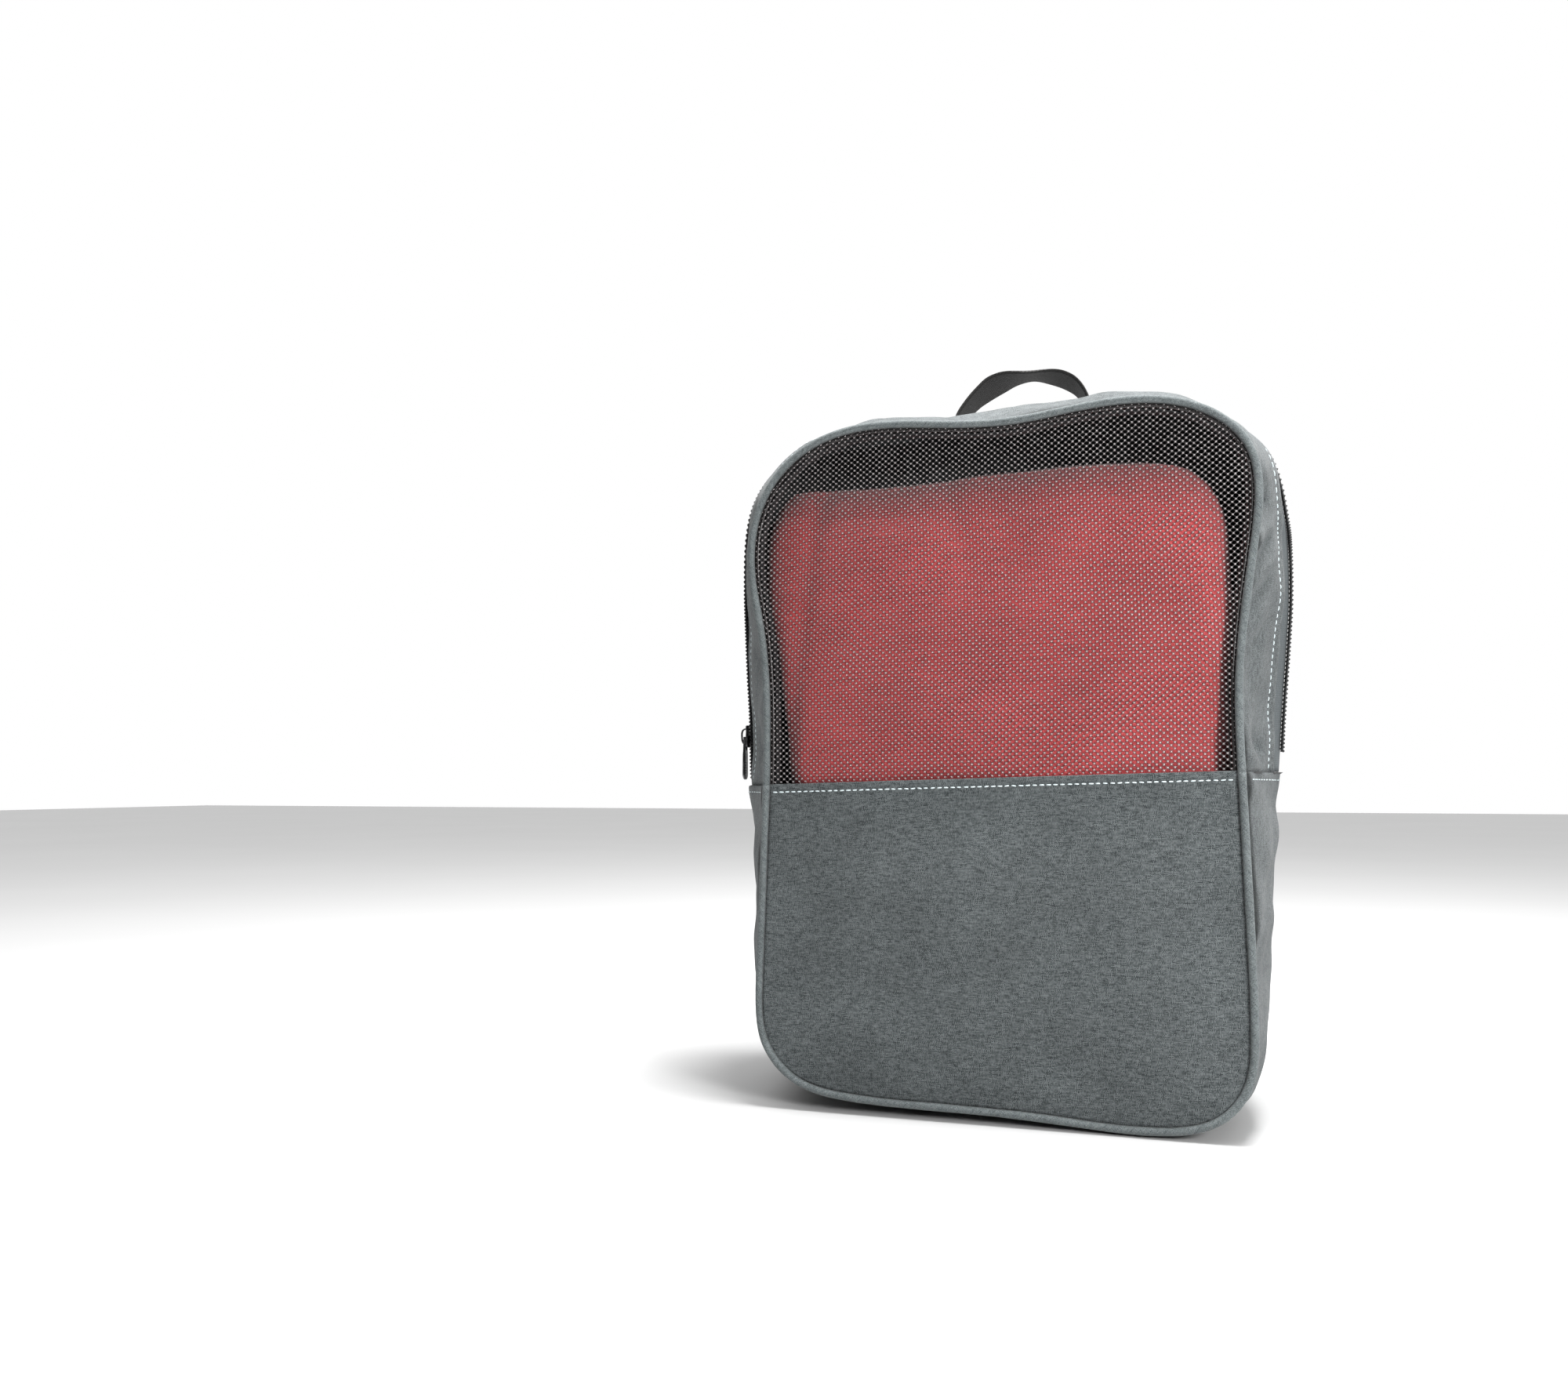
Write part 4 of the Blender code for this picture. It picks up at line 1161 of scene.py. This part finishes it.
def slider_bridge():
    """Arched bridge on the slider that holds the pull."""
    angle = np.linspace(0.0, math.pi, 21)
    reach = 0.0042 * squared(np.cos(angle), 0.7)
    rise = 0.0032 * np.sin(angle) ** 0.6
    centres = np.array([slider_place @ Vector((-0.0030 - h, 0.0, r))
                        for r, h in zip(reach, rise)])
    across = np.tile((0.0, 1.0, 0.0), (len(centres), 1))
    ahead = unit(np.gradient(centres, axis=0))
    out = np.cross(across, ahead)
    return ring_tube("zip_slider_bridge", centres, across * 0.00085, out * 0.00045, plated, 12)


tie(slider_bridge(), "slider", "slider_metal", "slider_cap")


def pull():
    """Flat cast pull with a window for the bridge and a ribbed, rounded end."""
    body = [(0.0021, 0.0006), *arc((0.0016, 0.0006), 0.0006, 0, 90, 4),
            *arc((-0.0016, 0.0006), 0.0006, 90, 180, 4), (-0.0021, 0.0006), (-0.0024, -0.0060),
            (-0.0030, -0.0085), *arc((0.0, -0.0188), 0.0032, 180, 360, 15), (0.0030, -0.0085),
            (0.0024, -0.0060)]
    window = [*arc((0.0, -0.0011), 0.0012, 0, 180, 9), *arc((0.0, -0.0050), 0.0012, 180, 360, 9)]
    place = Matrix.Translation(pivot) @ side_on
    tab = plate("pull_plate", [body, window[::-1]], 0.0012, 0.00030, place, plated)
    ribs = []
    for step in range(5):
        v = -0.0125 - 0.0014 * step
        bar = [(-0.0020, v), (0.0020, v), (0.0020, v - 0.0006), (-0.0020, v - 0.0006)]
        ribs.append(plate(f"pull_rib_{step}", [bar], 0.0017, 0.00020, place, plated))
    return joined("zip_pull", [tab, *ribs])


tie(pull(), "pull_tab", "slider_metal", "pull_tab")

# ---- handle ----------------------------------------------------------------------------
HANDLE_X = 0.010
HANDLE_Y = 0.033
HANDLE_HALF_WIDTH = 0.010
HANDLE_SPAN = 0.0360
HANDLE_THICK = 0.0016
END_LIFT = 0.0017             # outside of a sewn end over the gusset
TOP_T = np.linspace(KNOTS[8], KNOTS[13], 600)


def top_length(x):
    """Length t of the place on the top whose x is given, at the handle's depth."""
    found = gusset(TOP_T, np.full(len(TOP_T), HANDLE_Y))[0][:, 0]
    return np.interp(-x, -found, TOP_T)


# Front and back edges of the handle's webbing, x and z from the left leg to the right one. Most
# of the front edge is read off the photo through the fitted camera; the rest is given.
FRONT_EDGE = ((-0.0275, 0.3440), (-0.0258, 0.3540), (-0.0205, 0.3622), (-0.0143, 0.3690),
              (-0.0087, 0.3738), (-0.0032, 0.3758), (0.0131, 0.3753), (0.0334, 0.3732),
              (0.0378, 0.3704), (0.0419, 0.3655), (0.0450, 0.3590), (0.0470, 0.3440))
BACK_EDGE = ((-0.0265, 0.3440), (-0.0230, 0.3560), (-0.0160, 0.3635), (-0.0085, 0.3680),
             (-0.0010, 0.3718), (0.0060, 0.3752), (0.0150, 0.3768), (0.0250, 0.3738),
             (0.0330, 0.3700), (0.0385, 0.3660), (0.0430, 0.3590), (0.0455, 0.3440))


def soft_line(points, count):
    """A smooth line through a few points."""
    points = np.array(points)
    lengths = lengths_along(points)
    slope = np.gradient(points, lengths, axis=0)
    at = np.linspace(0.0, lengths[-1], count)
    k = np.clip(np.searchsorted(lengths, at, side="right") - 1, 0, len(points) - 2)
    span = (lengths[k + 1] - lengths[k])[:, None]
    b = (at - lengths[k])[:, None] / span
    return ((1 + 2 * b) * (1 - b) ** 2 * points[k] + b * (1 - b) ** 2 * span * slope[k]
            + b ** 2 * (3 - 2 * b) * points[k + 1] + b ** 2 * (b - 1) * span * slope[k + 1])


def handle_arch():
    """Webbing handle with rounded selvedges, twisted so that its front edge stands wider."""
    front, back = soft_line(FRONT_EDGE, 72), soft_line(BACK_EDGE, 72)
    line = np.insert((front + back) / 2.0, 1, HANDLE_Y, axis=1)
    lean = np.insert((back - front) / 2.0, 1, 0.0, axis=1) / HANDLE_HALF_WIDTH
    ahead = unit(np.gradient(line, axis=0))
    out = np.stack((-ahead[:, 2], np.zeros(len(line)), ahead[:, 0]), axis=-1)
    line = line - out * HANDLE_THICK / 2.0

    half = HANDLE_THICK / 2.0
    low, high = HANDLE_Y - HANDLE_HALF_WIDTH, HANDLE_Y + HANDLE_HALF_WIDTH
    low_bend, high_bend = low + half * 0.9, high - half * 0.9
    fill = np.linspace(low + 0.002, high - 0.002, 9)
    profile = np.array((
        (low_bend, 1.0), *((y, 1.0) for y in fill), (high_bend, 1.0), (high, 0.45),
        (high, -0.45), (high_bend, -1.0), *((y, -1.0) for y in fill[::-1]), (low_bend, -1.0),
        (low, -0.45), (low, 0.45)))
    points = np.zeros((len(line), len(profile), 3))
    for k, (y, share) in enumerate(profile):
        points[:, k] = line + out * (share * half)
        points[:, k, 1] = y
        points[:, k] += lean * (y - HANDLE_Y)
    index = np.arange(len(line) * len(profile)).reshape(len(line), len(profile))
    faces = tube_faces(index) + [index[0][::-1].tolist(), index[-1].tolist()]
    weave = flat_coords(lengths_along(line)[:, None], profile[:, 0][None, :])
    obj = mesh_object("handle_webbing_strap", points, faces, {"weave": weave})
    obj.data.materials.append(webbing)
    obj.data.set_sharp_from_angle(angle=math.radians(60))
    return close_and_turn_out(obj)


strap = handle_arch()
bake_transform(strap)
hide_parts("handle_webbing")


def sewn_end(word, side):
    """End of the webbing, sewn flat on the gusset beside the leg."""
    x = HANDLE_X + side * np.linspace(HANDLE_SPAN - 0.001, HANDLE_SPAN + 0.0235, 16)
    y = np.linspace(HANDLE_Y - HANDLE_HALF_WIDTH, HANDLE_Y + HANDLE_HALF_WIDTH, 12)
    t = top_length(x)
    if side > 0:
        t = t[::-1]
    points = gusset(t[:, None], y[None, :], END_LIFT)[0]
    weave = flat_coords(t[:, None], y[None, :])
    end = cloth(f"handle_end_{word}", points, weave, webbing, None, HANDLE_THICK)
    tie(end, "shell", "black_webbing", f"handle_anchor_{word}")
    near, far = sorted((t[1], t[-2]))
    low, high = y[0] + 0.002, y[-1] - 0.002

    def slanting(first, last):
        return lambda s: gusset(s, first + (s - near) / (far - near) * (last - first), END_LIFT)

    rows = ((slanting(low, low), near, far), (slanting(high, high), near, far),
            (across_gusset(near, END_LIFT), low, high), (across_gusset(far, END_LIFT), low, high),
            (slanting(low, high), near, far), (slanting(high, low), near, far))
    lines = [stitches(f"box_{word}_{k}", where, start, stop, black_thread, seed=60 + k)
             for k, (where, start, stop) in enumerate(rows)]
    tie(joined(f"stitches_handle_{word}", lines), "shell", "black_webbing")


sewn_end("left", -1)
sewn_end("right", 1)


# ---- red cloth sack --------------------------------------------------------------------
SACK_LOW = 0.0120
SACK_HIGH = 0.3060
SACK_BACK_Y = -0.0090
SACK_EDGE = 0.015             # rounding of its long edges
SACK_FOOT = 0.034             # height of its rounded foot
SACK_SHOULDER = 0.048         # and of its shoulder


def sack():
    """Stuffed cloth sack pressed against the net, with a loosely folded mouth."""
    levels, turns = 130, 220
    share = np.linspace(0.0, 1.0, levels)
    z = SACK_LOW + (SACK_HIGH - SACK_LOW) * share
    foot = np.clip((SACK_LOW + SACK_FOOT - z) / SACK_FOOT, 0.0, 1.0)
    shoulder = np.clip((z - (SACK_HIGH - SACK_SHOULDER)) / SACK_SHOULDER, 0.0, 1.0)
    angle = np.linspace(0.0, 2.0 * math.pi, turns, endpoint=False)
    c, s = np.cos(angle), np.sin(angle)
    box = (np.abs(c) ** 7 + np.abs(s) ** 7) ** (-1.0 / 7.0)
    across, deep = (c * box)[None, :], (s * box)[None, :]
    right = 0.1070 + 0.0015 * np.exp(-((z - 0.230) / 0.035) ** 2)
    left = 0.1020 + 0.0125 * smooth((z - 0.165) / 0.090)
    bend = 1.0 - np.sqrt(1.0 - foot ** 2)
    drop = 1.0 - np.sqrt(1.0 - shoulder ** 2.6)
    half = np.where(across > 0.0, (right - 0.034 * bend - 0.028 * drop)[:, None],
                    (left - 0.034 * bend - 0.016 * drop)[:, None])
    x = half * across
    front = -DEPTH + 0.0040 + 0.012 * (foot ** 3)[:, None] + 0.026 * (shoulder ** 2.6)[:, None]
    back = SACK_BACK_Y - 0.010 * (foot ** 3)[:, None] - 0.008 * (shoulder ** 2.0)[:, None]
    middle, thick = (front + back) / 2.0, (back - front) / 2.0
    near_side = np.clip((np.abs(x) - (half - SACK_EDGE)) / SACK_EDGE, 0.0, 1.0)
    y = middle + thick * deep * np.sqrt(1.0 - 0.85 * near_side ** 2)
    mouth = 0.0015 * np.sin(x / 0.030 + 0.5) * share[:, None] ** 6
    height = np.broadcast_to(z[:, None], x.shape) + mouth
    slow = waves(x, height, 71, 0.0028, 0.150, 0.040)
    crease = 0.0030 * np.exp(-((x + 0.094 - 0.10 * (height - 0.20)) / 0.0035) ** 2)
    upper = np.exp(-((x + 0.012 + 0.25 * (height - 0.26)) / 0.006) ** 2)
    crease = crease + 0.0022 * upper * smooth((height - 0.225) / 0.04)
    facing = deep < -0.3
    pressed = front_y(x, height) + 0.0009
    want = y - slow - 0.0030 * (1.0 - near_side ** 2) * (1.0 - shoulder[:, None] ** 3) * facing
    y = np.where(facing, np.maximum(want, pressed) + crease, y + slow)
    points = np.stack((x, y, height), axis=-1)
    index = np.arange(levels * turns).reshape(levels, turns)
    faces = tube_faces(index) + [index[0][::-1].tolist()]
    weave = flat_coords(np.broadcast_to((angle * 0.075)[None, :], x.shape), height)
    obj = mesh_object("red_cloth_sack", points, faces, {"weave": weave})
    obj.data.materials.append(red_cloth)
    wall = obj.modifiers.new("thickness", "SOLIDIFY")
    wall.thickness = 0.0009
    wall.offset = -1.0
    return obj


red_sack = tie(sack(), "shell", "red_cloth", "sack_front", "sack_back", "sack_side_band")

board = frame["nodes"]["base_board"]
board.data.materials.clear()
board.data.materials.append(board_plastic("board_plastic"))


# ---- floor, light and camera --------------------------------------------------------------
def studio():
    """Pale floor, white surroundings, a large light overhead and one from the right."""
    data = bpy.data.meshes.new("floor")
    size = 6.0
    data.from_pydata([(-size, -size, 0), (size, -size, 0), (size, size, 0), (-size, size, 0)],
                     [], [(0, 1, 2, 3)])
    floor = placed("floor", data)
    paint = Paint("floor_paint", {"Roughness": 0.9, "Specular IOR Level": 0.1})
    place = paint.node("TexCoord").outputs["Object"]
    paint.colour(paint.noise(place, 3.0), (0.50, 0.50, 0.50), (0.53, 0.53, 0.53))
    data.materials.append(paint.material)

    # a pale room: bright ceiling, white wall behind, dimmer towards the front
    world = bpy.data.worlds.new("room")
    world.use_nodes = True
    room = Nodes(world.node_tree)
    direction = room.node("TexCoord").outputs["Generated"]
    split = room.node("SeparateXYZ", inputs={"Vector": direction})
    wall = room.range(split.outputs["Y"], -0.1, 0.5, 0.12, 1.0)
    ceiling = room.range(split.outputs["Z"], 0.60, 0.95, 0.0, 1.6)
    sky = world.node_tree.nodes["Background"]
    room.put(sky.inputs["Strength"], room.math("ADD", wall, ceiling))
    room.put(sky.inputs["Color"], (1.0, 1.0, 1.0, 1.0))
    bpy.context.scene.world = world

    for name, place, target, width, power in (
            ("overhead", (0.15, -0.04, 1.30), (0.0, 0.0, 0.2), 0.5, 38.0),
            ("right", (0.46, -0.52, 0.32), (0.05, 0.0, 0.16), 0.22, 4.5)):
        light = bpy.data.lights.new(name, "AREA")
        light.shape = "DISK"
        light.size = width
        light.energy = power
        lamp = placed(name, light)
        lamp.location = place
        aim = Vector(target) - Vector(place)
        lamp.rotation_euler = aim.to_track_quat("-Z", "Y").to_euler()


studio()

lens = bpy.data.cameras.new("camera")
lens.lens = 27.0
lens.sensor_width = 36.0
lens.clip_start = 0.01
camera = placed("camera", lens)
camera.location = (0.063, -0.606, 0.154)
camera.rotation_euler = (math.radians(94.6), 0.0, math.radians(16.5))
bpy.context.scene.camera = camera
bpy.context.scene.view_settings.view_transform = "Standard"
bpy.context.scene.view_settings.look = "None"
